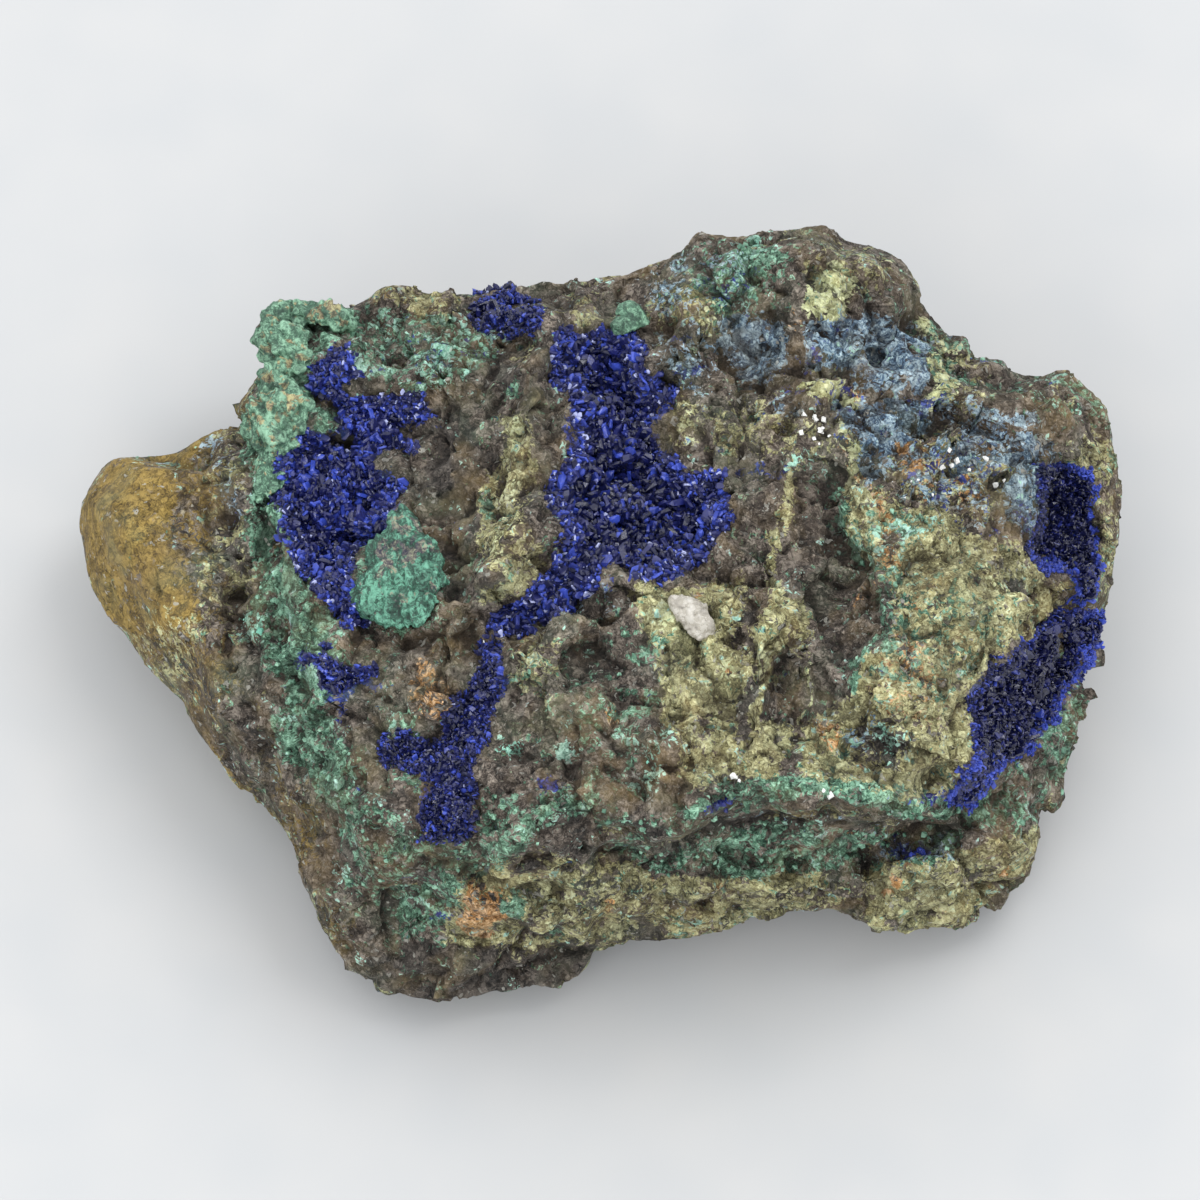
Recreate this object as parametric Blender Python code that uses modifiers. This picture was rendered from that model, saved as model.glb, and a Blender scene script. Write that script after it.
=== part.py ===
"""Azurite and malachite specimen, modelled full size: a chipped lump of brown gossan rock with an
ochre knob at the left, a malachite-rimmed ledge along the front and hollows lined with azurite.

Frame: metres, +Z up, the rest face on z = 0, the show face looking up and towards -Y.
Every place on the specimen is given on the show face, in millimetres: across (to the right),
up (up the leaning face) and, where a depth matters, a height above the rest face.
"""

import math
from dataclasses import dataclass

import bmesh
import bpy
import numpy as np
from mathutils import Matrix, Vector, noise
from mathutils.bvhtree import BVHTree

# ------------------------------------------------------------------ driving dimensions (mm)
MM = 0.001
FACE_LEAN = math.radians(60.0)  # the show face's own direction stands 60 degrees above level
FUSE_VOXEL = 0.62  # cell the masses are fused on
FUSE_SMOOTH = 9  # smoothing turns after fusing, which round the joints between the masses
GAP = 0.30  # clearance left between neighbouring pieces
BLADE_SPACING = 0.95  # spacing of the azurite blades, in blade widths
CRUST_THICK = 1.05  # how far the foot of an azurite crust stands off the rock
ROCK_TRIANGLES = 4200
CHIP_SIZES = (9.0, 5.0, 2.8)  # spacing of the broken facets, coarse to fine
CHIP_TILTS = (0.14, 0.17, 0.15)  # how far each size of facet leans
CRUMB_HEIGHT = 0.32  # height of the smallest crumbs of the surface
UNDERSIDE = -2.0  # height of the masses' undersides before the rest face is cut
REST_CUT = 1.1  # how much is cut away under the middle to make the level patch
REST_RISE = 2.7  # how far the underside rises around the level patch
REST_REACH = 5.5  # height above which the sides are left alone
REST_CENTRE = (0.0, -9.0)  # middle of the level patch, before the body is centred
REST_HALF = (25.0, 17.0)  # half its length and depth
RELIEF_STRENGTH = 1.05  # scales every named lump, pit and rib of the show face
WANDER_SIZE = 3.1  # spacing of the bends that keep named places from having neat edges
WANDER_REACH = 0.55  # how far those bends go
KNOB_CALM = 0.65  # how much smoother the ochre knob is than the broken rock
REFUSE_VOXEL = 0.55  # cell the finished rock is remeshed on before it is thinned
SEED = 4

# Cutters, grown from a body by a clearance: cell they are remeshed on, and triangles they keep.
ROCK_CUTTER = (0.42, 4400)
SKIN_CUTTER = (0.45, 2800)
NODULE_CUTTER = (0.3, 260)
RIND_CUTTER = (0.3, 420)
BLEB_CUTTER = (0.3, 90)
ROCK_CLEARANCE = GAP + 0.15
GROWTH_CLEARANCE = GAP + 0.10
PRISM_HEADROOM = 9.0  # how far a crust's block starts in front of the rock
PRISM_REACH = 5.0  # how far it goes in behind the rock's deepest place in the outline

# The outline of the show face, clockwise from the left end: (across, up).
OUTLINE = [
    (-40.0, 5.7), (-39.8, 7.6), (-38.9, 9.6), (-37.6, 10.8), (-36.0, 11.1), (-35.0, 10.8),
    (-32.0, 11.9), (-30.5, 12.5), (-28.8, 13.3), (-27.8, 13.6), (-27.8, 14.8), (-26.6, 16.4),
    (-25.9, 17.9), (-26.0, 19.6), (-26.5, 20.4), (-25.6, 21.8), (-24.6, 22.3), (-21.5, 22.7),
    (-19.8, 22.6), (-18.1, 22.9), (-17.5, 23.6), (-16.4, 24.0), (-14.2, 24.1), (-11.6, 23.6),
    (-9.6, 23.1), (-7.6, 23.6), (-6.0, 24.3), (-4.5, 24.7), (-1.1, 24.3), (2.0, 25.1), (5.1, 25.9),
    (6.6, 26.4), (7.1, 27.3), (8.8, 28.1), (11.1, 28.1), (14.8, 28.6), (16.8, 28.9), (17.9, 28.5),
    (18.7, 27.6), (21.0, 27.2), (22.7, 26.5), (23.8, 25.5), (24.8, 23.8), (24.8, 22.1),
    (26.1, 21.0), (27.8, 20.3), (28.9, 18.8), (30.9, 18.4), (33.3, 17.3), (35.7, 17.7),
    (37.4, 16.1), (38.6, 14.5), (39.6, 10.8), (40.0, 9.1), (39.8, 7.1), (39.4, 4.3), (38.7, 0.0),
    (38.1, -1.7), (38.1, -4.7), (36.9, -5.7), (37.1, -7.3), (36.6, -10.9), (35.7, -13.2),
    (34.9, -15.3), (33.7, -16.8), (33.1, -19.9), (32.6, -21.3), (30.9, -22.3), (30.1, -23.3),
    (28.6, -24.4), (26.9, -25.1), (22.7, -25.6), (21.0, -25.2), (19.0, -24.4), (17.9, -23.6),
    (15.1, -23.9), (11.1, -24.7), (9.9, -25.4), (5.1, -25.9), (0.5, -26.1), (-0.4, -26.9),
    (-1.1, -28.4), (-2.5, -29.5), (-4.8, -29.1), (-6.8, -29.5), (-8.5, -30.1), (-11.6, -30.8),
    (-14.2, -30.4), (-17.0, -29.2), (-18.7, -28.4), (-20.1, -26.9), (-21.0, -25.2), (-22.6, -21.9),
    (-22.9, -20.1), (-24.0, -17.6), (-26.0, -15.3), (-28.0, -13.9), (-30.3, -10.8), (-32.3, -7.6),
    (-34.5, -5.4), (-36.5, -2.9), (-37.6, -1.8), (-39.0, 0.8), (-39.6, 3.1),
]

# Corner points of the masses the rock is chipped from: (across, up, height above the rest face).
MAIN_MASS = [
    (-25.9, 20.7, 17), (-22.9, 22.5, 17), (-16.1, 23.9, 18), (-9.2, 23.4, 19), (-3.1, 24.6, 20),
    (3.1, 25.4, 21), (8.8, 27.8, 22.5), (16.8, 28.8, 23.5), (22.2, 26.3, 22), (26.4, 20.7, 20),
    (33.3, 17.3, 19), (37.5, 15.3, 18), (39.6, 9.9, 17), (39.6, 4.6, 15), (38.2, -0.8, 13),
    (37.1, -7.6, 11), (35.3, -13.8, 9),
    (17.6, -23.3, 5.5), (12.2, -24.5, 4.5), (7.6, -25.6, 4), (0.0, -25.9, 4), (-7.6, -27.2, 6),
    (-15.3, -27.4, 6), (-19.9, -25.2, 6), (-23.3, -19.1, 6),
    (-22.9, 15.3, 24), (-24.5, 7.6, 23), (-22.9, -3.1, 23), (-16.1, -16.8, 23), (-6.1, -18.4, 24),
    (0.0, -16.4, 27), (7.6, -14.9, 28), (15.3, -13.8, 28), (22.9, -13.8, 27), (27.7, -10.9, 26),
    (25.2, 3.1, 29), (21.4, 9.9, 29), (6.9, 0.0, 29.5), (0.0, 11.5, 28), (-10.7, 9.2, 27),
    (-3.1, 20.7, 25), (7.6, 20.7, 27), (15.3, 24.5, 26), (22.9, 22.9, 24.5), (33.7, 13.0, 21),
    (30.6, 7.6, 26), (35.3, 3.1, 20),
    (-19.9, -20.7, -2), (-13.8, -25.2, -2), (-6.1, -24.5, -2), (0.0, -21.8, -2), (10.7, -21.0, -2),
    (19.1, -19.9, -2), (27.5, -18.4, -2), (32.1, -12.2, -2), (34.4, -6.9, -2),
    (35.2, 0.0, -2), (33.7, 6.1, -2), (27.5, 9.9, -2), (19.1, 12.2, -2), (3.8, 13.0, -2),
    (-9.2, 12.2, -2), (-19.9, 9.9, -2), (-23.7, 3.1, -2), (-24.5, -6.1, -2),
    (7.6, 22.9, 10), (16.8, 23.7, 11), (-11.5, 19.5, 9), (-3.1, 20.7, 9), (25.2, 17.6, 10),
    (33.7, 12.2, 9), (-21.4, 16.1, 9),
]
KNOB = [
    (-40.0, 5.7, 9), (-38.9, 9.6, 11), (-36.3, 11.0, 13), (-30.6, 12.5, 16), (-27.5, 13.4, 17),
    (-24.5, 12.2, 19), (-23.7, 0.0, 20), (-27.9, 0.0, 19), (-36.0, 4.6, 17.5), (-33.3, 9.2, 18.5),
    (-37.8, 7.6, 15.5),
    (-39.0, 0.8, 8), (-36.5, -2.9, 6), (-32.3, -7.6, 6), (-29.1, -12.2, 6), (-25.6, -16.2, 6),
    (-34.4, 0.0, 15), (-30.2, -3.8, 16), (-26.0, -9.9, 16),
    (-36.7, 3.1, 3), (-32.9, -1.5, 1.5), (-34.4, 7.6, 4), (-26.8, 9.2, 3), (-22.9, -9.2, -2),
    (-25.2, -12.2, 1),
]
FLANK = [
    (-26.0, -1.5, 20), (-22.9, -7.6, 21.5), (-18.4, -15.3, 22), (-32.1, -7.6, 6.5),
    (-29.1, -12.2, 6), (-25.6, -16.2, 6), (-24.0, -18.4, 5.5), (-22.6, -21.9, 4.5),
    (-21.0, -25.2, 3.5), (-19.5, -26.8, 3), (-16.8, -25.2, 10), (-20.7, -19.1, 13),
    (-25.2, -10.7, 15), (-28.3, -7.6, 13),
    (-23.7, -12.2, -1), (-19.9, -19.9, -2), (-16.8, -22.9, -2), (-13.8, -7.6, -2),
]
LOWER_RIGHT_LOBE = [
    (18.5, -20.8, 9), (19.0, -23.3, 4.5), (21.0, -25.2, 3.5), (25.2, -25.3, 3), (28.6, -24.3, 3.5),
    (30.9, -22.3, 5), (32.6, -21.1, 7), (33.4, -17.9, 9), (32.3, -16.4, 14), (26.8, -17.0, 18),
    (21.4, -17.3, 18), (19.7, -19.0, 13),
    (21.4, -21.4, -2), (27.5, -21.4, -2), (30.6, -18.4, -1), (22.9, -14.5, -2), (30.6, -13.0, -2),
]
BOTTOM_LAYER = [
    (-21.0, -25.4, 3), (-18.7, -28.4, 2.5), (-14.2, -30.4, 2), (-11.6, -30.8, 2),
    (-6.8, -29.5, 2.5), (-2.5, -29.5, 3), (-1.1, -28.4, 3.5), (0.4, -26.2, 4.5),
    (-17.6, -25.6, 9.5), (-11.5, -26.6, 10), (-3.1, -25.2, 9), (0.0, -24.9, 7),
    (-16.8, -25.2, -2), (-11.5, -26.4, -2), (-3.1, -25.2, -1.5),
]
TOP_DOME = [
    (7.6, 26.8, 20), (9.9, 27.8, 20.5), (15.3, 28.6, 22), (18.4, 28.2, 22), (22.9, 25.9, 20),
    (24.6, 22.9, 18), (10.7, 24.9, 27), (15.3, 25.9, 28), (20.7, 24.9, 27.5), (22.2, 21.4, 26),
    (13.8, 20.7, 28), (7.6, 21.4, 26.5), (16.8, 13.8, 24), (7.6, 15.3, 24), (9.2, 22.9, 9),
    (21.4, 20.7, 9),
]
RIGHT_DOME = [
    (29.5, 18.2, 18), (33.7, 17.1, 19.5), (36.6, 16.2, 19.5), (38.7, 13.4, 18), (38.9, 9.9, 18),
    (34.4, 13.8, 25), (30.6, 14.5, 25.5), (29.8, 11.5, 25), (35.2, 11.1, 23.5), (30.6, 13.0, 12),
    (36.7, 10.7, 12),
]
MASSES = (MAIN_MASS, KNOB, FLANK, LOWER_RIGHT_LOBE, BOTTOM_LAYER, TOP_DOME, RIGHT_DOME)

# Outlines of the azurite crusts on the show face: (across, up).
LEFT_HOLLOW = [
    (-21.6, 17.0), (-20.2, 19.1), (-18.9, 19.1), (-18.4, 17.1), (-16.5, 15.9), (-13.0, 15.3),
    (-12.5, 13.5), (-14.0, 11.8), (-15.1, 9.3), (-15.5, 6.7), (-16.7, 4.9), (-18.4, 3.7),
    (-19.1, 1.9), (-18.5, -0.2), (-16.8, -2.1), (-19.1, -1.5), (-21.0, 0.0), (-22.4, 2.0),
    (-23.4, 4.1), (-24.2, 6.6), (-24.3, 12.2), (-23.0, 13.6), (-21.6, 13.5),
]
CENTRE_HOLLOW = [
    (-3.7, 19.0), (-2.7, 20.0), (0.0, 20.3), (2.3, 20.2), (3.4, 19.4), (3.1, 17.9), (4.0, 16.9),
    (5.5, 16.2), (5.1, 13.6), (6.3, 9.7), (8.9, 9.2), (9.7, 7.6), (9.2, 6.0), (8.4, 4.1),
    (7.0, 2.8), (4.5, 1.5), (2.6, 1.8), (0.3, 2.1), (-0.6, 0.8), (-2.9, -0.9), (-6.0, -2.4),
    (-8.4, -2.8), (-8.8, -2.1), (-7.4, -0.8), (-5.3, 0.3), (-3.7, 1.8), (-2.5, 3.4), (-2.7, 5.8),
    (-3.8, 7.5), (-3.4, 8.7), (-2.5, 10.0), (-1.8, 12.0), (-2.1, 15.5), (-3.6, 16.1),
]
Y_VEIN = [
    (-8.6, -3.4), (-7.5, -3.5), (-7.3, -6.9), (-8.3, -8.9), (-8.8, -11.2), (-9.9, -13.0),
    (-9.6, -15.3), (-9.7, -17.8), (-13.1, -17.8), (-13.1, -15.3), (-12.5, -13.9), (-14.2, -12.5),
    (-16.1, -12.2), (-16.6, -10.9), (-15.3, -9.7), (-13.4, -10.3), (-11.9, -10.8), (-11.5, -8.7),
    (-10.6, -7.0), (-9.1, -6.1),
]
SIDE_PATCH = [
    (-22.9, -4.2), (-20.7, -3.5), (-18.1, -4.2), (-16.6, -6.1), (-16.8, -8.6), (-19.0, -9.0),
    (-21.0, -7.8), (-22.7, -6.3),
]
UPPER_POCKET = [
    (33.5, 9.9), (35.3, 10.3), (37.2, 9.6), (37.6, 7.6), (37.6, 3.1), (37.5, 0.5), (36.5, 0.2),
    (36.0, 1.7), (35.2, 2.4), (32.9, 2.8), (32.4, 4.0), (33.3, 5.2), (33.4, 8.4),
]
LENS_POCKET = [
    (37.9, -1.2), (37.5, -3.1), (36.7, -4.7), (35.6, -6.9), (34.8, -8.6), (32.9, -10.9),
    (31.5, -11.9), (29.5, -12.9), (28.7, -14.5), (27.7, -15.8), (26.5, -15.3), (26.8, -13.8),
    (28.2, -12.2), (28.1, -9.0), (28.0, -6.6), (29.5, -4.9), (31.4, -3.4), (33.7, -2.1),
    (36.0, -0.8),
]
TOP_TUFT = [
    (-9.9, 21.9), (-9.2, 23.1), (-7.6, 23.4), (-6.1, 23.2), (-4.7, 22.2), (-4.6, 21.0),
    (-6.1, 20.3), (-8.0, 20.6), (-9.3, 20.9),
]

AZURITE_CRUSTS = (
    "azurite_left_hollow",
    "azurite_centre_hollow",
    "azurite_y_vein",
    "azurite_side_patch",
    "azurite_upper_pocket",
    "azurite_lens_pocket",
    "azurite_top_tuft",
)

# Malachite pieces and the quartz grain.
NODULE_RUN = [
    ((-15.1, 6.3), 0.9), ((-14.8, 4.7), 1.7), ((-16.1, 3.4), 1.7), ((-13.9, 2.9), 2.2), ((-13.2,
    0.9), 1.8), ((-14.2, 0.0), 2.5),
    ((-15.7, 0.8), 2.6), ((-17.0, 0.2), 1.9), ((-15.3, -0.9), 1.8), ((-13.0, -0.9), 1.5),
]
RIND_RUN = [
    ((-19.5, 21.3), 1.0), ((-20.7, 21.0), 1.3), ((-22.0, 21.3), 1.6), ((-23.7, 21.3), 1.8),
    ((-25.4, 20.2), 1.3), ((-24.1, 19.1), 2.0), ((-23.0, 19.5), 1.4), ((-23.3, 17.9), 1.4),
    ((-24.7, 17.3), 1.5),
    ((-25.4, 16.1), 1.1), ((-24.3, 15.8), 1.4), ((-23.1, 15.1), 1.1), ((-24.2, 14.2), 2.1),
    ((-25.9, 13.6), 1.5), ((-26.1, 12.4), 1.1), ((-24.8, 12.2), 1.7), ((-23.6, 13.0), 1.2),
    ((-24.4, 11.2), 1.2),
    ((-25.4, 10.2), 1.1), ((-24.6, 9.1), 1.3), ((-25.3, 8.0), 1.2), ((-24.4, 6.9), 1.2), ((-24.2,
    5.4), 1.0), ((-23.6, 3.9), 1.3), ((-23.3, 2.5), 1.1), ((-22.8, 1.1), 1.1), ((-22.5, -0.2),
    0.9),
]
BLEB_RUN = [((2.2, 21.6), 1.2), ((3.1, 20.8), 0.9), ((1.5, 20.7), 0.85)]
QUARTZ_CENTRE = (6.9, -1.3)
QUARTZ_RADII = (2.45, 1.35, 1.2)
QUARTZ_TURN = 135.0  # degrees from across to its narrow end
QUARTZ_TAPER = 0.32
QUARTZ_FOOT = 0.5  # how far the grain's middle stands off the rock
QUARTZ_BREAKS = 11  # flat breaks on it
BALL_SPACING = 0.7  # spacing of the balls along a malachite growth
GROWTH_VOXEL = 0.25  # cell the growths are fused on


# ------------------------------------------------------------------ the show face
def to_body(across, up, out):
    """World x, y, z (mm) of a place on the show face; out is measured towards the viewer of it."""
    y = up * math.sin(FACE_LEAN) - out * math.cos(FACE_LEAN)
    z = up * math.cos(FACE_LEAN) + out * math.sin(FACE_LEAN)
    return across, y, z


def to_face(x, y, z):
    """Across, up and out (mm) of a world place."""
    up = y * math.sin(FACE_LEAN) + z * math.cos(FACE_LEAN)
    out = z * math.sin(FACE_LEAN) - y * math.cos(FACE_LEAN)
    return x, up, out


def station(across, up, height):
    """World place seen at (across, up) on the show face and standing `height` above the rest face."""
    out = (height - up * math.cos(FACE_LEAN)) / math.sin(FACE_LEAN)
    return to_body(across, up, out)


OUT = Vector(to_body(0.0, 0.0, 1.0))


# ------------------------------------------------------------------ relief of the show face
def smooth_step(low, high, value):
    t = np.clip((value - low) / (high - low), 0.0, 1.0)
    return t * t * (3.0 - 2.0 * t)


def line_distance(points, across, up):
    """Distance from each place to an open line of points."""
    best = np.full(across.shape, 1.0e9)
    for (x0, y0), (x1, y1) in zip(points[:-1], points[1:]):
        dx, dy = x1 - x0, y1 - y0
        along = ((across - x0) * dx + (up - y0) * dy) / max(dx * dx + dy * dy, 1.0e-9)
        along = np.clip(along, 0.0, 1.0)
        best = np.minimum(best, np.hypot(across - x0 - along * dx, up - y0 - along * dy))
    return best


def inside_distance(points, across, up):
    """Distance to a closed outline, positive inside it."""
    ring = list(points) + [points[0]]
    inside = np.zeros(across.shape, dtype=bool)
    for (x0, y0), (x1, y1) in zip(ring[:-1], ring[1:]):
        crosses = (y0 > up) != (y1 > up)
        rise = y1 - y0 if abs(y1 - y0) > 1.0e-9 else 1.0e-9
        inside ^= crosses & (across < (x1 - x0) * (up - y0) / rise + x0)
    away = line_distance(ring, across, up)
    return np.where(inside, away, -away)


@dataclass
class Mound:
    """A round lump (or, with a negative height, a round pit)."""

    centre: tuple
    radii: tuple
    height: float
    turn: float = 0.0
    flat: float = 0.15

    def lift(self, across, up):
        c, s = math.cos(math.radians(self.turn)), math.sin(math.radians(self.turn))
        dx, dy = across - self.centre[0], up - self.centre[1]
        reach = np.hypot((dx * c + dy * s) / self.radii[0], (dy * c - dx * s) / self.radii[1])
        return self.height * (1.0 - smooth_step(self.flat, 1.0, reach))


@dataclass
class Ridge:
    """A rib along a line of points (or, with a negative height, a groove)."""

    points: list
    half_width: float
    height: float

    def lift(self, across, up):
        away = line_distance(self.points, across, up)
        return self.height * (1.0 - smooth_step(0.15 * self.half_width, self.half_width, away))


@dataclass
class Area:
    """A whole outlined area, lifted or sunk, with its edge sloping over `edge` mm."""

    points: list
    height: float
    edge: float

    def lift(self, across, up):
        depth = inside_distance(self.points, across, up)
        return self.height * smooth_step(-0.35 * self.edge, 0.65 * self.edge, depth)


RELIEF = [
    # hollows and pockets lined with azurite
    Area(LEFT_HOLLOW, -2.4, 2.2),
    Mound((-19.5, 11.5), (2.0, 2.6), -1.5),
    Mound((-17.2, 13.4), (2.4, 1.6), -0.8),
    Area(CENTRE_HOLLOW, -1.8, 1.8),
    Mound((2.7, 11.1), (5.2, 8.0), -2.2, turn=18.0),
    Area(UPPER_POCKET, -3.4, 1.0),
    Area(LENS_POCKET, -2.9, 2.0),
    Area(Y_VEIN, -0.7, 1.2),
    # left end: knob, shelf and pits
    Mound((-36.1, 10.3), (2.2, 1.6), 0.8),
    Mound((-35.2, 4.6), (5.0, 5.5), 0.9),
    Mound((-27.8, 3.1), (3.4, 2.2), 0.9),
    Mound((-27.8, 0.2), (1.5, 1.3), -2.4),
    Mound((-27.5, -2.7), (2.2, 3.2), -1.2),
    Ridge([(-29.8, 13.0), (-30.1, 9.2), (-29.5, 4.6)], 1.4, -0.5),
    Ridge([(-26.8, 13.0), (-27.1, 9.9), (-26.6, 6.1), (-25.4, 3.1), (-25.9, -0.9), (-25.2, -7.6) ],
        1.6, 1.0),
    # flank
    Mound((-29.5, -6.9), (2.5, 2.0), 0.8),
    Mound((-26.4, -11.1), (2.4, 2.6), 0.9),
    Mound((-22.6, -15.3), (2.6, 3.4), 0.8),
    Mound((-23.7, -7.6), (2.0, 4.0), -0.9, turn=-30.0),
    Mound((-19.5, -21.4), (2.8, 2.2), 0.8),
    Ridge([(-22.9, 0.0), (-21.4, -6.1), (-19.1, -10.7), (-18.0, -15.3), (-16.8, -19.9),
        (-13.0, -24.1) ], 1.8, 0.9),
    # upper left: ledge, crevice, brown wedge, olive vein and rib
    Area([(-18.5, 21.6), (-12.2, 22.0), (-6.7, 20.7), (-7.2, 19.0), (-9.9, 16.5), (-15.0, 15.9),
        (-19.0, 17.9) ], -0.9, 1.6),
    Ridge([(-17.4, 15.9), (-13.0, 16.1), (-9.2, 17.4), (-7.3, 19.0)], 1.2, 0.9),
    Ridge([(-6.3, 19.9), (-7.3, 17.4), (-8.7, 15.3)], 1.2, -1.9),
    Ridge([(-20.7, 22.0), (-15.3, 23.1), (-10.7, 22.6)], 1.6, 0.9),
    Area([(-13.4, 14.9), (-7.6, 15.3), (-7.2, 11.1), (-8.9, 6.1), (-9.3, 0.8), (-12.2, -3.1),
        (-11.3, 1.9), (-14.4, 6.1), (-14.5, 10.7) ], -1.5, 1.6),
    Ridge([(-5.7, 13.4), (-6.7, 9.9), (-7.0, 5.4), (-8.6, 1.9)], 1.4, 0.7),
    Ridge([(-0.8, 22.8), (-4.0, 20.5), (-5.2, 15.3), (-4.2, 9.0), (-7.3, 3.1), (-11.1, -1.7),
        (-12.1, -7.6) ], 1.9, 1.5),
    Ridge([(-7.6, 14.5), (-6.7, 12.2), (-7.6, 9.2)], 0.9, -0.9),
    Mound((3.4, 21.3), (1.4, 1.3), -1.9),
    Mound((-0.8, 21.8), (2.4, 1.5), 0.6),
    Area([(3.1, 19.1), (7.6, 19.4), (8.6, 17.9), (6.9, 16.8), (3.4, 17.1)], 1.1, 0.7),
    # middle: boss, olive crests and the sunk brown facet
    Mound((-1.5, -7.6), (5.6, 8.2), 1.5, turn=20.0),
    Mound((0.9, -13.0), (3.2, 2.8), 1.0),
    Mound((-5.4, -4.6), (2.2, 2.6), 0.7),
    Mound((-4.6, -13.0), (2.4, 2.6), 0.5),
    Mound((-10.3, -3.8), (2.0, 3.6), -0.9),
    Mound((6.9, -6.9), (3.2, 6.4), 0.9, turn=8.0),
    Ridge([(11.3, 0.0), (12.1, -6.1), (11.2, -12.4)], 1.0, 0.9),
    Ridge([(9.2, -3.8), (9.8, -7.6), (9.3, -11.5)], 0.8, -0.9),
    Ridge([(14.2, -3.1), (14.1, -7.6), (14.5, -11.1)], 0.9, -0.8),
    Area([(14.1, 9.9), (17.7, 10.6), (18.5, 5.4), (20.0, 3.1), (21.7, 0.0), (21.7, -2.8),
        (18.8, -4.9), (18.4, -7.6), (15.3, -9.6), (14.2, -3.1), (15.0, 3.1) ], -1.5, 1.3),
    Mound((12.6, 8.4), (2.4, 1.6), 0.8),
    # right: olive dome, folds, domes of the upper edge
    Mound((24.9, -3.1), (8.4, 9.6), 1.9, turn=-10.0, flat=0.35),
    Mound((27.5, 6.9), (4.0, 3.0), 0.8),
    Mound((20.5, -10.7), (2.2, 2.2), -0.8),
    Ridge([(18.2, 13.0), (20.8, 11.9), (23.3, 13.4)], 1.1, -1.0),
    Ridge([(16.4, 15.3), (19.1, 14.9), (22.9, 15.5), (25.6, 13.8)], 1.0, 0.8),
    Area([(9.3, 21.3), (15.3, 22.0), (23.3, 21.3), (23.6, 16.5), (17.6, 17.0), (14.5, 15.9),
        (9.8, 16.7) ], -0.9, 1.2),
    Ridge([(25.6, 20.8), (26.4, 18.4), (25.4, 15.1)], 1.4, 1.1),
    Mound((18.7, 11.5), (1.6, 2.2), 0.9),
    Mound((16.8, 12.9), (1.8, 1.4), -0.9),
    Ridge([(13.4, 27.8), (15.3, 25.9), (17.0, 22.9)], 1.1, -0.8),
    Mound((17.6, 23.7), (2.6, 2.6), 0.7),
    Mound((21.4, 25.2), (3.0, 2.2), 0.6),
    Ridge([(29.8, 13.8), (31.4, 9.9), (32.1, 6.1)], 1.2, -1.0),
    Mound((30.6, 0.8), (3.0, 2.6), 0.6),
    Ridge([(38.1, 9.2), (38.2, 3.1), (37.5, -3.1)], 1.0, 0.8),
    Mound((35.6, -9.9), (1.8, 3.2), 0.7),
    # front: the malachite-lined ledge, the recess below it and the olive face
    Ridge([(-7.6, -19.0), (-3.9, -15.3), (-0.6, -15.3), (1.7, -16.8), (4.6, -16.8), (9.0, -14.8),
        (15.3, -14.1), (21.4, -14.7), (26.4, -15.8) ], 1.3, 1.5),
    Area([(-3.1, -17.7), (1.5, -18.2), (4.6, -18.1), (9.2, -16.4), (15.3, -15.8), (22.9, -16.4),
        (27.7, -17.0), (26.8, -18.8), (21.4, -19.3), (15.3, -20.8), (7.6, -20.8), (0.0, -20.0) ],
        -2.5, 1.1),
    Ridge([(-6.1, -19.7), (-0.8, -21.1), (7.6, -21.6), (15.3, -21.4), (18.4, -20.8)], 1.1, 0.7),
    Ridge([(18.8, -23.6), (20.0, -19.3), (24.0, -17.6), (27.7, -16.7)], 1.3, -2.2),
    Ridge([(-9.9, -28.5), (-4.6, -27.7), (0.5, -26.0)], 1.0, -1.6),
    Mound((3.1, -22.9), (4.4, 2.2), 0.9),
    Mound((12.2, -22.3), (4.0, 2.0), 0.8),
    Mound((-9.2, -23.3), (2.0, 1.8), 0.8),
    Mound((-3.2, -22.3), (1.2, 1.0), -0.9),
    Mound((3.4, -24.6), (2.4, 1.2), -0.9),
    Mound((25.2, -21.8), (4.4, 2.8), 0.9),
    Ridge([(20.8, -18.7), (23.7, -19.1), (27.2, -18.7)], 1.3, 0.8),
]


# ------------------------------------------------------------------ helpers
def purge():
    """Removes whatever objects the scene starts with."""
    for obj in list(bpy.data.objects):
        bpy.data.objects.remove(obj, do_unlink=True)


def collection(name):
    made = bpy.data.collections.new(name)
    bpy.context.scene.collection.children.link(made)
    return made


def material(name, colour, roughness, specular=0.5, transmission=0.0):
    made = bpy.data.materials.new(name)
    made.use_nodes = True
    shader = made.node_tree.nodes["Principled BSDF"]
    shader.inputs["Base Color"].default_value = (*colour, 1.0)
    shader.inputs["Roughness"].default_value = roughness
    shader.inputs["Specular IOR Level"].default_value = specular
    shader.inputs["Transmission Weight"].default_value = transmission
    made.diffuse_color = (*colour, 1.0)
    return made


def new_object(name, bm, home):
    """Turns a bmesh into an object (world metres) in the collection `home`."""
    mesh = bpy.data.meshes.new(name)
    bmesh.ops.recalc_face_normals(bm, faces=bm.faces)
    bm.to_mesh(mesh)
    bm.free()
    obj = bpy.data.objects.new(name, mesh)
    home.objects.link(obj)
    return obj


def vertex_array(mesh):
    flat = np.empty(len(mesh.vertices) * 3)
    mesh.vertices.foreach_get("co", flat)
    return flat.reshape(-1, 3)


def set_vertices(mesh, places):
    mesh.vertices.foreach_set("co", places.astype(np.float32).ravel())
    mesh.update()


def normal_array(mesh):
    flat = np.empty(len(mesh.vertices) * 3)
    mesh.vertices.foreach_get("normal", flat)
    return flat.reshape(-1, 3)


def evaluated(obj):
    """A free-standing copy of the object's mesh with its modifiers worked out."""
    graph = bpy.context.evaluated_depsgraph_get()
    graph.update()
    return bpy.data.meshes.new_from_object(obj.evaluated_get(graph))


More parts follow.
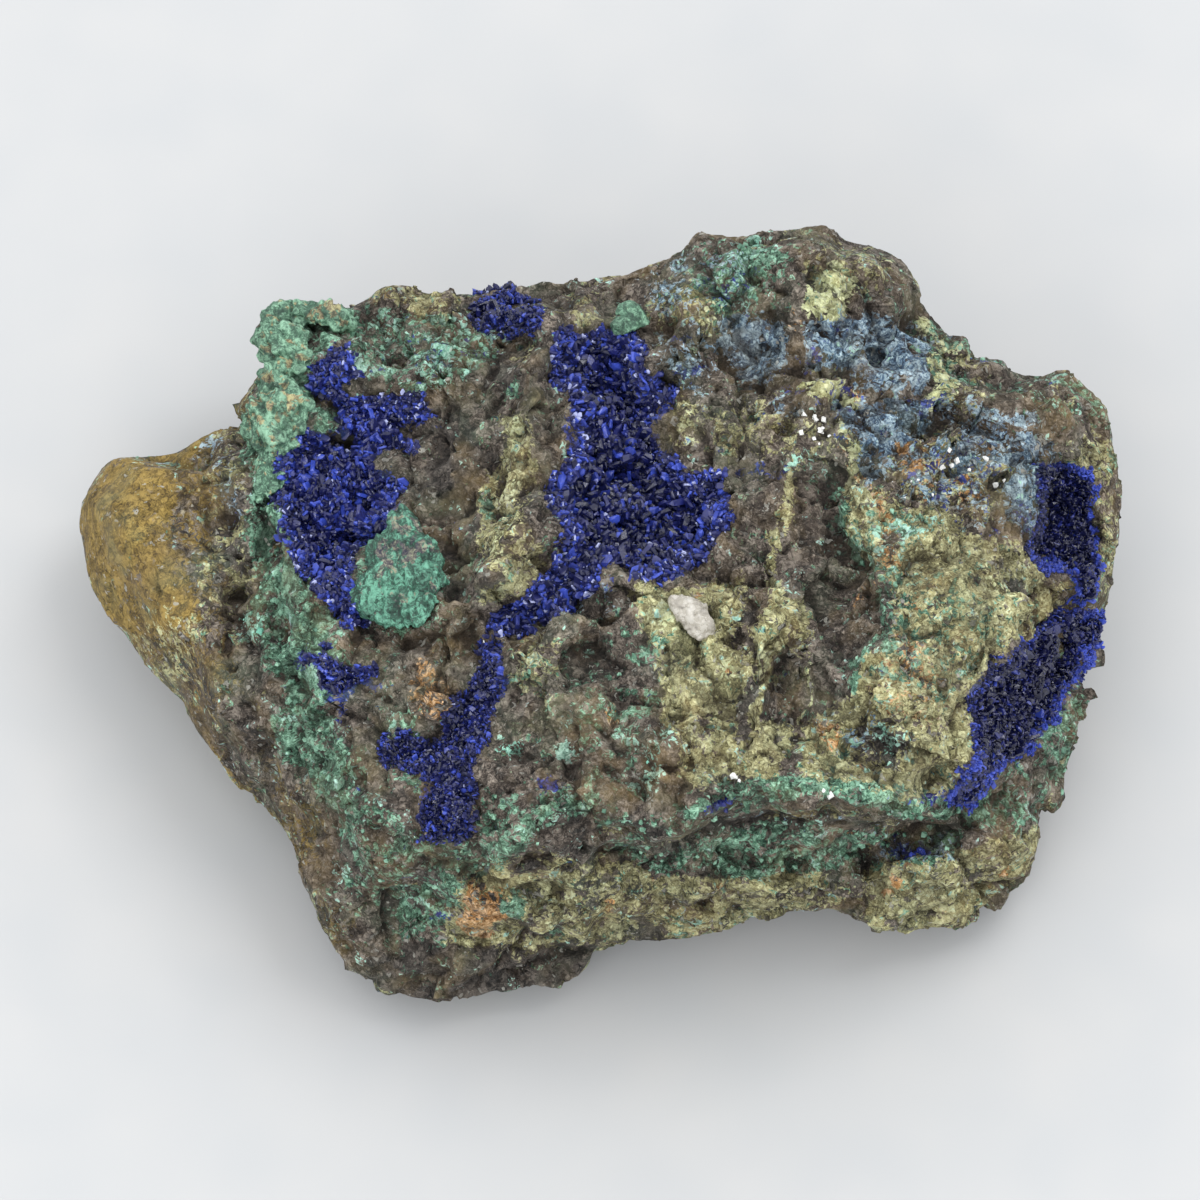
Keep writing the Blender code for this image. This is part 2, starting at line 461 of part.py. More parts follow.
def bake_modifiers(obj):
    """Replaces the object's mesh by its worked-out one."""
    mesh = evaluated(obj)
    old = obj.data
    obj.modifiers.clear()
    obj.data = mesh
    bpy.data.meshes.remove(old)


def boolean(obj, tool, operation, fold=False):
    step = obj.modifiers.new("join", "BOOLEAN")
    step.operation = operation
    step.solver = "EXACT"
    step.use_self = fold
    step.object = tool
    bake_modifiers(obj)


def keep_largest(obj, flatten=0.0):
    """Drops every loose crumb but the largest body, then cleans what is left."""
    bm = bmesh.new()
    bm.from_mesh(obj.data)
    bmesh.ops.remove_doubles(bm, verts=bm.verts, dist=0.00001)
    if flatten:
        angle = math.radians(flatten)
        bmesh.ops.dissolve_limit(bm, angle_limit=angle, verts=bm.verts, edges=bm.edges)
    bmesh.ops.triangulate(bm, faces=bm.faces)
    bm.faces.index_update()
    seen = set()
    groups = []
    for start in bm.faces:
        if start.index in seen:
            continue
        group = {start.index}
        front = [start]
        while front:
            here = front.pop()
            for edge in here.edges:
                if len(edge.link_faces) != 2:
                    continue
                for there in edge.link_faces:
                    if there.index not in group:
                        group.add(there.index)
                        front.append(there)
        seen |= group
        groups.append(group)
    groups.sort(key=len, reverse=True)
    loose = [f for f in bm.faces if f.index not in groups[0]]
    bmesh.ops.delete(bm, geom=loose, context="FACES")
    stray = [v for v in bm.verts if not v.link_faces]
    bmesh.ops.delete(bm, geom=stray, context="VERTS")
    bmesh.ops.recalc_face_normals(bm, faces=bm.faces)
    bm.to_mesh(obj.data)
    bm.free()


def hull(bm, places):
    """Adds the convex body of the places (world mm) to bm, in metres."""
    verts = [bm.verts.new(Vector(p) * MM) for p in places]
    found = bmesh.ops.convex_hull(bm, input=verts)
    spare = [g for g in found["geom_interior"] if isinstance(g, bmesh.types.BMVert)]
    bmesh.ops.delete(bm, geom=spare, context="VERTS")


# ------------------------------------------------------------------ the rock
def outline_radius(angle):
    """Distance from the middle of the show face to its outline in the direction `angle`."""
    ring = sorted((math.atan2(u, a), math.hypot(a, u)) for a, u in OUTLINE)
    angles = np.array([a for a, _ in ring])
    radii = np.array([r for _, r in ring])
    return np.interp(angle, angles, radii, period=2.0 * math.pi)


def fit_outline(places, blur, inner):
    """Stretches the body in the plane of the show face until its outline is OUTLINE.

    The stretch grows from nothing at `inner` of the way out to the whole of it at the outline.
    """
    across, up, out = to_face(places[:, 0], places[:, 1], places[:, 2])
    angle = np.arctan2(up, across)
    radius = np.hypot(across, up)
    bins = 300
    index = ((angle + math.pi) / (2.0 * math.pi) * bins).astype(int) % bins
    reach = np.zeros(bins)
    np.maximum.at(reach, index, radius)
    around = np.stack([np.roll(reach, turn) for turn in range(-blur, blur + 1)])
    reach = around.mean(axis=0)
    middles = (np.arange(bins) + 0.5) / bins * 2.0 * math.pi - math.pi
    now = np.interp(angle, middles, reach, period=2.0 * math.pi)
    share = smooth_step(inner, 1.0, radius / now)
    scale = 1.0 + (outline_radius(angle) / now - 1.0) * share
    return np.stack(to_body(across * scale, up * scale, out), axis=1)


def noise_array(places, size, seed):
    """Smooth noise in -1..1, one value a place, with features about `size` mm across."""
    shift = Vector((seed * 17.3, seed * 5.1, seed * 9.7))
    return np.array([noise.noise(Vector(p) / size + shift) for p in places])


def chips(places, size, seed):
    """Broken facets: each cell about `size` mm across leans its own way."""
    rng = np.random.default_rng(seed)
    low = places.min(axis=0) - size
    high = places.max(axis=0) + size
    steps = [np.arange(low[i], high[i], size) for i in range(3)]
    grid = np.stack(np.meshgrid(*steps, indexing="ij"), axis=-1).reshape(-1, 3)
    grid = grid + rng.uniform(-0.5, 0.5, grid.shape) * size
    lean = rng.normal(0.0, 1.0, grid.shape)
    lift = np.empty(len(places))
    for start in range(0, len(places), 4000):
        part = places[start:start + 4000]
        away = ((part[:, None, :] - grid[None, :, :]) ** 2).sum(axis=2)
        cell = away.argmin(axis=1)
        lift[start:start + 4000] = ((part - grid[cell]) * lean[cell]).sum(axis=1)
    return lift


def relief(places, normals):
    """Moves the surface: named relief along the show face's direction, broken facets everywhere."""
    across, up, _ = to_face(places[:, 0], places[:, 1], places[:, 2])
    facing = normals @ np.array(OUT)
    shown = smooth_step(0.02, 0.35, facing)
    wander = noise_array(places, WANDER_SIZE, 1) * WANDER_REACH
    wander_up = noise_array(places, WANDER_SIZE, 2) * WANDER_REACH
    lift = np.zeros(len(places))
    for item in RELIEF:
        lift += RELIEF_STRENGTH * item.lift(across + wander, up + wander_up)
    crumbs = np.zeros(len(places))
    for size, tilt, seed in zip(CHIP_SIZES, CHIP_TILTS, (11, 12, 13)):
        crumbs += tilt * chips(places, size, SEED + seed) * (0.45 + 0.55 * (1.0 - 0.5 * shown))
    crumbs += CRUMB_HEIGHT * noise_array(places, 1.7, 5)
    knob = smooth_step(0.0, 6.0, -27.0 - across)
    crumbs *= 1.0 - KNOB_CALM * knob
    edge = np.hypot(across, up) / outline_radius(np.arctan2(up, across))
    inward = 1.0 - 0.75 * smooth_step(0.90, 1.0, edge)
    moved = places + np.array(OUT)[None, :] * (lift * shown)[:, None]
    return moved + normals * (crumbs * inward)[:, None]


def rest_relief(places):
    """Lifts the underside into a rough hollow all round the level patch it rests on."""
    across = (places[:, 0] - REST_CENTRE[0]) / REST_HALF[0]
    centre = np.hypot(across, (places[:, 1] - REST_CENTRE[1]) / REST_HALF[1])
    rise = REST_RISE * smooth_step(0.62, 1.1, centre) * (1.0 + 0.6 * noise_array(places, 6.0, 7))
    floor = rise - REST_CUT
    share = np.clip((places[:, 2] - UNDERSIDE) / (REST_REACH - UNDERSIDE), 0.0, None)
    lifted = floor + share * (REST_REACH - floor)
    places = places.copy()
    places[:, 2] = np.where(places[:, 2] < REST_REACH, lifted, places[:, 2])
    return places


def build_rock(home):
    bm = bmesh.new()
    for mass in MASSES:
        hull(bm, [station(*corner) for corner in mass])
    rock = new_object("matrix_rock", bm, home)
    fuse = rock.modifiers.new("fuse", "REMESH")
    fuse.mode = "VOXEL"
    fuse.voxel_size = FUSE_VOXEL * MM
    soften = rock.modifiers.new("soften", "SMOOTH")
    soften.factor = 0.5
    soften.iterations = FUSE_SMOOTH
    bake_modifiers(rock)
    places = vertex_array(rock.data) / MM
    for blur in (4, 3, 2):
        places = fit_outline(places, blur, 0.45)
    set_vertices(rock.data, places * MM)
    places = relief(places, normal_array(rock.data))
    set_vertices(rock.data, places * MM)
    places = rest_relief(places)
    for _ in range(2):
        places = fit_outline(places, 1, 0.9)
    set_vertices(rock.data, places * MM)
    cut_rest_face(rock)
    refuse = rock.modifiers.new("fuse", "REMESH")
    refuse.mode = "VOXEL"
    refuse.voxel_size = REFUSE_VOXEL * MM
    ease = rock.modifiers.new("ease", "SMOOTH")
    ease.factor = 0.4
    ease.iterations = 2
    bake_modifiers(rock)
    plain = rock.vertex_groups.new(name="plain_sides")
    hidden = 1.0 - smooth_step(-0.2, 0.3, normal_array(rock.data) @ np.array(OUT))
    for index, weight in enumerate(hidden):
        plain.add([index], float(0.25 + 0.75 * weight), "REPLACE")
    thin = rock.modifiers.new("thin", "DECIMATE")
    thin.ratio = ROCK_TRIANGLES / (2.0 * len(rock.data.polygons))
    thin.vertex_group = "plain_sides"
    thin.vertex_group_factor = 0.6
    bake_modifiers(rock)
    rock.vertex_groups.clear()
    cut_rest_face(rock)
    keep_largest(rock)
    return rock


def cut_rest_face(rock):
    """Cuts the body level at z = 0, the face it rests on."""
    bm = bmesh.new()
    bm.from_mesh(rock.data)
    geom = bm.verts[:] + bm.edges[:] + bm.faces[:]
    level = {"plane_co": (0.0, 0.0, 0.0), "plane_no": (0.0, 0.0, -1.0)}
    cut = bmesh.ops.bisect_plane(bm, geom=geom, clear_outer=True, **level)
    rim = [e for e in cut["geom_cut"] if isinstance(e, bmesh.types.BMEdge)]
    bmesh.ops.holes_fill(bm, edges=rim, sides=0)
    bmesh.ops.triangulate(bm, faces=[f for f in bm.faces if len(f.verts) > 4])
    bm.to_mesh(rock.data)
    bm.free()


# ------------------------------------------------------------------ crusts and grains
def swollen(obj, amount, mesh_size, home):
    """A cutter: the body grown evenly by `amount` mm, remeshed on a cell and thinned."""
    cell, triangles = mesh_size
    mesh = obj.data.copy()
    places = vertex_array(mesh) + normal_array(mesh) * amount * MM
    set_vertices(mesh, places)
    copy = bpy.data.objects.new(obj.name + "_grown", mesh)
    copy.hide_render = True
    copy.display_type = "WIRE"
    home.objects.link(copy)
    fuse = copy.modifiers.new("fuse", "REMESH")
    fuse.mode = "VOXEL"
    fuse.voxel_size = cell * MM
    bake_modifiers(copy)
    thin = copy.modifiers.new("thin", "DECIMATE")
    thin.ratio = min(1.0, triangles / (2.0 * len(copy.data.polygons)))
    bake_modifiers(copy)
    keep_largest(copy)
    return copy


def surface(tree, across, up):
    """World place and normal of the rock at a place on the show face, or just inside its rim."""
    for turn in range(8):
        inset = 1.0 - 0.02 * turn
        start = Vector(to_body(across * inset, up * inset, 80.0)) * MM
        place, normal, _, _ = tree.ray_cast(start, -OUT)
        if place is not None:
            return place, normal
    raise RuntimeError("no rock behind this place")


def prism(name, points, tree, home):
    """A straight-sided block behind the outline `points`, reaching just below the rock's face."""
    seen = [surface(tree, a, u)[0] / MM for a, u in points]
    outs = [to_face(*place)[2] for place in seen]
    bm = bmesh.new()
    front = [bm.verts.new(Vector(to_body(a, u, max(outs) + PRISM_HEADROOM)) * MM) for a, u in points]
    face = bm.faces.new(front)
    back = bmesh.ops.extrude_face_region(bm, geom=[face])
    moved = [g for g in back["geom"] if isinstance(g, bmesh.types.BMVert)]
    depth = max(outs) - min(outs) + PRISM_HEADROOM + PRISM_REACH
    bmesh.ops.translate(bm, verts=moved, vec=-OUT * depth * MM)
    bmesh.ops.triangulate(bm, faces=bm.faces)
    return new_object(name, bm, home)


def blade(bm, place, axis, spin, width, thick, height):
    """One flat azurite blade: a tapered slab with a slanting chisel edge, its foot sunk in the crust."""
    made = bmesh.ops.create_cube(bm, size=1.0)["verts"]
    turn = axis.to_track_quat("Z", "Y").to_matrix() @ Matrix.Rotation(spin, 3, "Z")
    for v in made:
        top = v.co.z > 0.0
        high = height * (0.68 if v.co.x > 0.0 else 1.0)
        x = v.co.x * width * (0.66 if top else 1.0)
        y = v.co.y * thick * (0.45 if top else 1.0)
        v.co = place + (turn @ Vector((x, y, high if top else -0.25))) * MM


def crust(name, points, size, seed, rock, skin, tools, home, paint):
    """A crust of azurite blades grown on the rock inside an outline: one solid body."""
    rng = np.random.default_rng(SEED * 100 + seed)
    tree = BVHTree.FromObject(rock, bpy.context.evaluated_depsgraph_get())
    slab = prism(name, points, tree, home)
    boolean(slab, skin, "INTERSECT")
    bm = bmesh.new()
    ring = np.array(points)
    low, high = ring.min(axis=0), ring.max(axis=0)
    spacing = size * BLADE_SPACING
    row = 0
    for u in np.arange(low[1], high[1] + spacing, spacing * 0.87):
        row += 1
        for a in np.arange(low[0] + (row % 2) * spacing / 2.0, high[0] + spacing, spacing):
            a1 = a + rng.uniform(-0.25, 0.25) * spacing
            u1 = u + rng.uniform(-0.25, 0.25) * spacing
            if inside_distance(points, np.array([a1]), np.array([u1]))[0] < 0.15 * size:
                continue
            place, normal = surface(tree, a1, u1)
            axis = (normal + OUT * 0.5 + Vector(rng.normal(0.0, 0.36, 3))).normalized()
            width = size * rng.uniform(0.85, 1.25)
            tall = CRUST_THICK + width * rng.uniform(0.35, 0.7)
            blade(bm, place, axis, rng.uniform(0.0, math.pi), width, width * 0.5, tall)
    crystals = new_object("crystals", bm, home)
    boolean(slab, crystals, "UNION", fold=True)
    bpy.data.objects.remove(crystals, do_unlink=True)
    keep_largest(slab, flatten=3.0)
    thin = slab.modifiers.new("thin", "DECIMATE")
    thin.ratio = 0.58
    bake_modifiers(slab)
    for tool in tools:
        boolean(slab, tool, "DIFFERENCE")
    keep_largest(slab, flatten=7.0)
    slab.data.materials.clear()
    slab.data.materials.append(paint)
    return slab


@dataclass
class Growth:
    """A rounded malachite growth: places with a radius each, and how it is finished."""

    name: str
    balls: list
    squash: float  # height of each ball for a radius of 1
    foot: float  # how far the balls' middles stand off the rock
    roughness: float
    seed: int
    triangles: int

    def run(self):
        """The balls, with more between them so that they fuse into one body."""
        found = [self.balls[0]]
        for (start, r0), (end, r1) in zip(self.balls[:-1], self.balls[1:]):
            parts = max(1, round(math.dist(start, end) / BALL_SPACING))
            for i in range(1, parts + 1):
                t = i / parts
                across = start[0] + (end[0] - start[0]) * t
                up = start[1] + (end[1] - start[1]) * t
                found.append(((across, up), r0 + (r1 - r0) * t))
        return found


NODULE = Growth("malachite_nodule", NODULE_RUN, 0.40, 0.8, 0.28, 21, 340)
RIND = Growth("malachite_rind", RIND_RUN, 0.48, 0.7, 0.34, 23, 600)
BLEB = Growth("malachite_bleb", BLEB_RUN, 0.9, 0.2, 0.10, 25, 100)


def lumps(growth, rock, tools, home, skin):
    """A rounded growth, fused into one body and seated on the rock."""
    tree = BVHTree.FromObject(rock, bpy.context.evaluated_depsgraph_get())
    bm = bmesh.new()
    for (across, up), radius in growth.run():
        place, _ = surface(tree, across, up)
        made = bmesh.ops.create_icosphere(bm, subdivisions=3, radius=1.0)["verts"]
        for v in made:
            high = v.co.z * radius * growth.squash + growth.foot
            v.co = place + Vector(to_body(v.co.x * radius, v.co.y * radius, high)) * MM
    body = new_object(growth.name, bm, home)
    fuse = body.modifiers.new("fuse", "REMESH")
    fuse.mode = "VOXEL"
    fuse.voxel_size = GROWTH_VOXEL * MM
    soften = body.modifiers.new("soften", "SMOOTH")
    soften.factor = 0.5
    soften.iterations = 5
    bake_modifiers(body)
    places = vertex_array(body.data) / MM
    rough = noise_array(places, 1.1, growth.seed)
    rough += 0.6 * noise_array(places, 0.6, growth.seed + 1)
    places = places + normal_array(body.data) * (rough * growth.roughness)[:, None]
    set_vertices(body.data, places * MM)
    thin = body.modifiers.new("thin", "DECIMATE")
    thin.ratio = growth.triangles / (2.0 * len(body.data.polygons))
    bake_modifiers(body)
    for tool in tools:
        boolean(body, tool, "DIFFERENCE")
    keep_largest(body)
    body.data.materials.clear()
    body.data.materials.append(skin)
    return body


def grain(name, centre, radii, tools, rock, home, skin, seed):
    """One chipped quartz grain: a ball with a dozen flat breaks, seated on the rock."""
    rng = np.random.default_rng(SEED * 31 + seed)
    tree = BVHTree.FromObject(rock, bpy.context.evaluated_depsgraph_get())
    place, _ = surface(tree, *centre)
    bm = bmesh.new()
    bmesh.ops.create_icosphere(bm, subdivisions=2, radius=1.0)
    for _ in range(QUARTZ_BREAKS):
        flat = Vector(rng.normal(0.0, 1.0, 3)).normalized()
        geom = bm.verts[:] + bm.edges[:] + bm.faces[:]
        reach = flat * rng.uniform(0.72, 0.9)
        cut = bmesh.ops.bisect_plane(bm, geom=geom, plane_co=reach, plane_no=flat, clear_outer=True)
        rim = [e for e in cut["geom_cut"] if isinstance(e, bmesh.types.BMEdge)]
        if rim:
            bmesh.ops.holes_fill(bm, edges=rim, sides=0)
    turn = math.radians(QUARTZ_TURN)
    for v in bm.verts:
        slim = 1.0 - QUARTZ_TAPER * v.co.x
        along, beside = v.co.x * radii[0], v.co.y * radii[1] * slim
        high = v.co.z * radii[2] * slim + QUARTZ_FOOT
        across = along * math.cos(turn) - beside * math.sin(turn)
        up = along * math.sin(turn) + beside * math.cos(turn)
        v.co = place + Vector(to_body(across, up, high)) * MM
    bmesh.ops.dissolve_limit(bm, angle_limit=math.radians(6.0), verts=bm.verts, edges=bm.edges)
    bmesh.ops.triangulate(bm, faces=bm.faces)
    body = new_object(name, bm, home)
    for tool in tools:
        boolean(body, tool, "DIFFERENCE")
    keep_largest(body, flatten=6.0)
    body.data.materials.clear()
    body.data.materials.append(skin)
    return body


# ------------------------------------------------------------------ the specimen
def main():
    purge()
    home = collection("azurite_specimen")
    cutters = collection("cutters")
    rock = build_rock(home)
    rock.data.materials.clear()
    rock.data.materials.append(material("brown_gossan", (0.105, 0.092, 0.055), 0.9, 0.25))
    azurite = {}
    for name in AZURITE_CRUSTS:
        azurite[name] = material(name, (0.010, 0.016, 0.22), 0.35)
    green = material("malachite_fibrous", (0.10, 0.34, 0.22), 0.6, 0.35)
    green_rind = material("malachite_banded", (0.12, 0.38, 0.25), 0.6, 0.35)
    green_bleb = material("malachite_pale", (0.20, 0.50, 0.30), 0.6, 0.35)
    clear = material("quartz_milky", (0.80, 0.79, 0.72), 0.2, 0.5)

    base = swollen(rock, ROCK_CLEARANCE, ROCK_CUTTER, cutters)
    skin = swollen(rock, CRUST_THICK, SKIN_CUTTER, cutters)
    nodule = lumps(NODULE, rock, [base], home, green)
    rind = lumps(RIND, rock, [base], home, green_rind)
    bleb = lumps(BLEB, rock, [base], home, green_bleb)
    grain("quartz_grain", QUARTZ_CENTRE, QUARTZ_RADII, [base], rock, home, clear, 1)
    nodule_clear = swollen(nodule, GROWTH_CLEARANCE, NODULE_CUTTER, cutters)
    rind_clear = swollen(rind, GROWTH_CLEARANCE, RIND_CUTTER, cutters)
    bleb_clear = swollen(bleb, GROWTH_CLEARANCE, BLEB_CUTTER, cutters)
    growths = (
        ("azurite_left_hollow", LEFT_HOLLOW, 2.0, 1, [base, nodule_clear, rind_clear]),
        ("azurite_centre_hollow", CENTRE_HOLLOW, 2.3, 2, [base, bleb_clear]),
        ("azurite_y_vein", Y_VEIN, 1.8, 3, [base]),
        ("azurite_side_patch", SIDE_PATCH, 1.8, 4, [base, rind_clear]),
        ("azurite_upper_pocket", UPPER_POCKET, 1.8, 5, [base]),
        ("azurite_lens_pocket", LENS_POCKET, 2.0, 6, [base]),
        ("azurite_top_tuft", TOP_TUFT, 1.6, 7, [base]),
    )
    for name, points, size, seed, tools in growths:
        crust(name, points, size, seed, rock, skin, tools, home, azurite[name])

    for cutter in list(cutters.objects):
        bpy.data.objects.remove(cutter, do_unlink=True)
    centre_on_origin(home)
    for obj in home.objects:
        print(obj.name, len(obj.data.polygons), "faces")


def centre_on_origin(home):
    """Puts the middle of the overall box over the origin; the rest face stays on z = 0."""
    boxes = [vertex_array(obj.data) for obj in home.objects]
    low = np.min([b.min(axis=0) for b in boxes], axis=0)
    high = np.max([b.max(axis=0) for b in boxes], axis=0)
    shift = Vector((-(low[0] + high[0]) / 2.0, -(low[1] + high[1]) / 2.0, 0.0))
    for obj in home.objects:
        obj.data.transform(Matrix.Translation(shift))
        obj.data.update()
    print("shift mm", [round(c / MM, 4) for c in shift], "size mm", np.round((high - low) / MM, 3))


main()
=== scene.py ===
"""Azurite and malachite specimen, dressed: broken rock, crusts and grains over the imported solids.

Frame: metres, +Z up, the rest face on z = 0, the show face looking up and towards -Y.
A place on the specimen is given on the show face, as (across, up) in millimetres, the way the
solids' source gives it. Lengths are millimetres everywhere except where a mesh is written.
"""

from __future__ import annotations

import functools
import itertools
import logging
import math
from collections.abc import Sequence
from dataclasses import dataclass, field
from enum import Enum

import bpy
import numpy as np
from bpy.types import ID, Material, Mesh, Node, NodeSocket, NodeTree, Object, bpy_prop_collection
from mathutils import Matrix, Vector


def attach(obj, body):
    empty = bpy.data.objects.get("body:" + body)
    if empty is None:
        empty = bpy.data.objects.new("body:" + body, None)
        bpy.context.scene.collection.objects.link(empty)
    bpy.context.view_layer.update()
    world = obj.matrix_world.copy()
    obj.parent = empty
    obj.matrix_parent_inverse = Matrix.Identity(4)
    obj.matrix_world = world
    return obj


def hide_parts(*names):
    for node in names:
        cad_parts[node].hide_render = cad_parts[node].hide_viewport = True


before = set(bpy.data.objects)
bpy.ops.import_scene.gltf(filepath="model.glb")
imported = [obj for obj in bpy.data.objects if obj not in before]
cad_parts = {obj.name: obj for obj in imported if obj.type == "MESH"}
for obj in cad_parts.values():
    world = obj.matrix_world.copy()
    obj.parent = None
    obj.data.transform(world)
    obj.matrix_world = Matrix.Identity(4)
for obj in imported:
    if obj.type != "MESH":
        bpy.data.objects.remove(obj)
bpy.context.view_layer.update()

MM = 0.001
WELD_REACH = 1.0e-6
BODY = "root"
Array = np.ndarray
Pair = tuple[float, float]
Triple = tuple[float, float, float]
Colour = Triple
log = logging.getLogger("specimen")


# ---------- the show face and its shapes
@dataclass(frozen=True)
class ShowFace:
    """The leaning plane that every place on the specimen is given on."""

    lean: float = math.radians(60.0)
    shift: tuple[float, float, float] = (0.0764, 7.1078, 0.0)

    @property
    def out(self) -> Array:
        """The direction that the face looks in."""
        return np.array([0.0, -math.cos(self.lean), math.sin(self.lean)])

    def to_body(self, across: float, up: float, out: float) -> Array:
        """World place of a place on the face.

        Args:
            across: Millimetres to the right.
            up: Millimetres up the face.
            out: Millimetres towards the viewer of the face.

        Returns:
            World x, y, z in millimetres.
        """
        y = up * math.sin(self.lean) - out * math.cos(self.lean)
        z = up * math.cos(self.lean) + out * math.sin(self.lean)
        return np.array([across, y, z]) + np.array(self.shift)

    def to_face(self, places: Array) -> tuple[Array, Array, Array]:
        """Across, up and out of world places.

        Args:
            places: World places in millimetres, one a row.

        Returns:
            Three arrays, one value a place.
        """
        x, y, z = (places - np.array(self.shift)).T
        up = y * math.sin(self.lean) + z * math.cos(self.lean)
        out = z * math.sin(self.lean) - y * math.cos(self.lean)
        return x, up, out


FACE = ShowFace()


def smooth_step(low: float, high: float, value: Array) -> Array:
    """Eased 0 to 1 as the value goes from low to high.

    Args:
        low: Where the result leaves 0.
        high: Where it reaches 1.
        value: The values to ease.

    Returns:
        The eased values.
    """
    t = np.clip((value - low) / (high - low), 0.0, 1.0)
    return t * t * (3.0 - 2.0 * t)


def line_distance(points: list[Pair], across: Array, up: Array) -> Array:
    """Distance from each place to an open line of points.

    Args:
        points: The line, as (across, up).
        across: How far across the face each place is.
        up: How far up it.

    Returns:
        Distances in millimetres.
    """
    best = np.full(across.shape, 1.0e9)
    for (x0, y0), (x1, y1) in zip(points[:-1], points[1:]):
        dx, dy = x1 - x0, y1 - y0
        along = ((across - x0) * dx + (up - y0) * dy) / max(dx * dx + dy * dy, 1.0e-9)
        along = np.clip(along, 0.0, 1.0)
        best = np.minimum(best, np.hypot(across - x0 - along * dx, up - y0 - along * dy))
    return best


def inside_distance(points: list[Pair], across: Array, up: Array) -> Array:
    """Distance to a closed outline, positive inside it.

    Args:
        points: The outline, as (across, up).
        across: How far across the face each place is.
        up: How far up it.

    Returns:
        Signed distances in millimetres.
    """
    ring = list(points) + [points[0]]
    inside = np.zeros(across.shape, dtype=bool)
    for (x0, y0), (x1, y1) in zip(ring[:-1], ring[1:]):
        crosses = (y0 > up) != (y1 > up)
        rise = y1 - y0 if abs(y1 - y0) > 1.0e-9 else 1.0e-9
        inside ^= crosses & (across < (x1 - x0) * (up - y0) / rise + x0)
    away = line_distance(ring, across, up)
    return np.where(inside, away, -away)


@dataclass(frozen=True)
class Round:
    """A round or oval place on the face, with its strength there (a height, or a share of cover)."""

    centre: Pair
    radii: Pair
    amount: float
    turn: float = 0.0
    flat: float = 0.25

    def value(self, across: Array, up: Array) -> Array:
        """Its strength at each place: whole in the middle, nothing outside.

        Args:
            across: How far across the face each place is.
            up: How far up it.

        Returns:
            One value a place.
        """
        c, s = math.cos(math.radians(self.turn)), math.sin(math.radians(self.turn))
        dx, dy = across - self.centre[0], up - self.centre[1]
        reach = np.hypot((dx * c + dy * s) / self.radii[0], (dy * c - dx * s) / self.radii[1])
        return self.amount * (1.0 - smooth_step(self.flat, 1.35, reach))


@dataclass(frozen=True)
class Run:
    """A band along a line of points on the face, with its strength there."""

    points: list[Pair]
    half_width: float
    amount: float
    sharp: float = 0.2

    def value(self, across: Array, up: Array) -> Array:
        """Its strength at each place: whole on the line, nothing beyond the band."""
        away = line_distance(self.points, across, up)
        return self.amount * (1.0 - smooth_step(self.sharp * self.half_width, self.half_width, away))


@dataclass(frozen=True)
class Zone:
    """An outlined zone of the face, with its strength there and an edge that eases over `edge`."""

    points: list[Pair]
    amount: float
    edge: float = 1.0

    def value(self, across: Array, up: Array) -> Array:
        """Its strength at each place: whole inside the outline."""
        depth = inside_distance(self.points, across, up)
        return self.amount * smooth_step(-0.5 * self.edge, 0.5 * self.edge, depth)


Shape = Round | Run | Zone


def rounds(*rows: tuple[float, ...]) -> tuple[Round, ...]:
    """Rounds from rows of numbers.

    Args:
        rows: Across, up, the two radii and the strength of each, then its turn and flat share if it has them.

    Returns:
        One round a row.
    """
    return tuple(Round(row[:2], row[2:4], *row[4:]) for row in rows)


def strongest(shapes: Sequence[Shape], across: Array, up: Array) -> Array:
    """The greatest strength that any of the shapes has at each place.

    Args:
        shapes: The shapes.
        across: How far across the face each place is.
        up: How far up it.

    Returns:
        One value a place, 0 where no shape reaches.
    """
    return np.maximum.reduce([np.zeros(across.shape), *(shape.value(across, up) for shape in shapes)])


# ---------- noise on the body
def scramble(cells: Array, seed: int) -> Array:
    """One evenly spread whole number for each whole-number cell.

    Args:
        cells: Cell numbers, three a row.
        seed: Which set of numbers.

    Returns:
        Unsigned 32-bit numbers, one a row.
    """
    c = (cells.astype(np.int64) & 0xFFFFFFFF).astype(np.uint32)
    mixed = c[:, 0] * np.uint32(0x8DA6B343) ^ c[:, 1] * np.uint32(0xD8163841)
    mixed = mixed ^ c[:, 2] * np.uint32(0xCB1AB31F) ^ np.uint32(seed * 0x9E3779B1 & 0xFFFFFFFF)
    mixed = (mixed ^ (mixed >> np.uint32(15))) * np.uint32(0x2C1B3C6D)
    mixed = (mixed ^ (mixed >> np.uint32(12))) * np.uint32(0x297A2D39)
    return mixed ^ (mixed >> np.uint32(15))


def three_shares(numbers: Array) -> Array:
    """Three values in -1..1 out of each 32-bit number.

    Args:
        numbers: Unsigned 32-bit numbers.

    Returns:
        An array of three columns.
    """
    parts = [(numbers >> np.uint32(turn)) & np.uint32(1023) for turn in (0, 10, 20)]
    return np.stack(parts, axis=1).astype(float) / 511.5 - 1.0


def wave(places: Array, size: float, seed: int) -> Array:
    """Smooth noise, about -1..1.

    Args:
        places: Places in millimetres, one a row.
        size: How far apart its bumps are.
        seed: Which noise.

    Returns:
        One value a place.
    """
    scaled = places / size + 0.37 * seed
    base = np.floor(scaled)
    part = scaled - base
    ease = part * part * part * (part * (part * 6.0 - 15.0) + 10.0)
    total = np.zeros(len(places))
    for corner in itertools.product((0.0, 1.0), repeat=3):
        step = np.array(corner)
        weight = np.prod(np.where(step > 0.5, ease, 1.0 - ease), axis=1)
        slope = three_shares(scramble(base + step, seed))
        total += weight * ((part - step) * slope).sum(axis=1)
    return total * 1.6


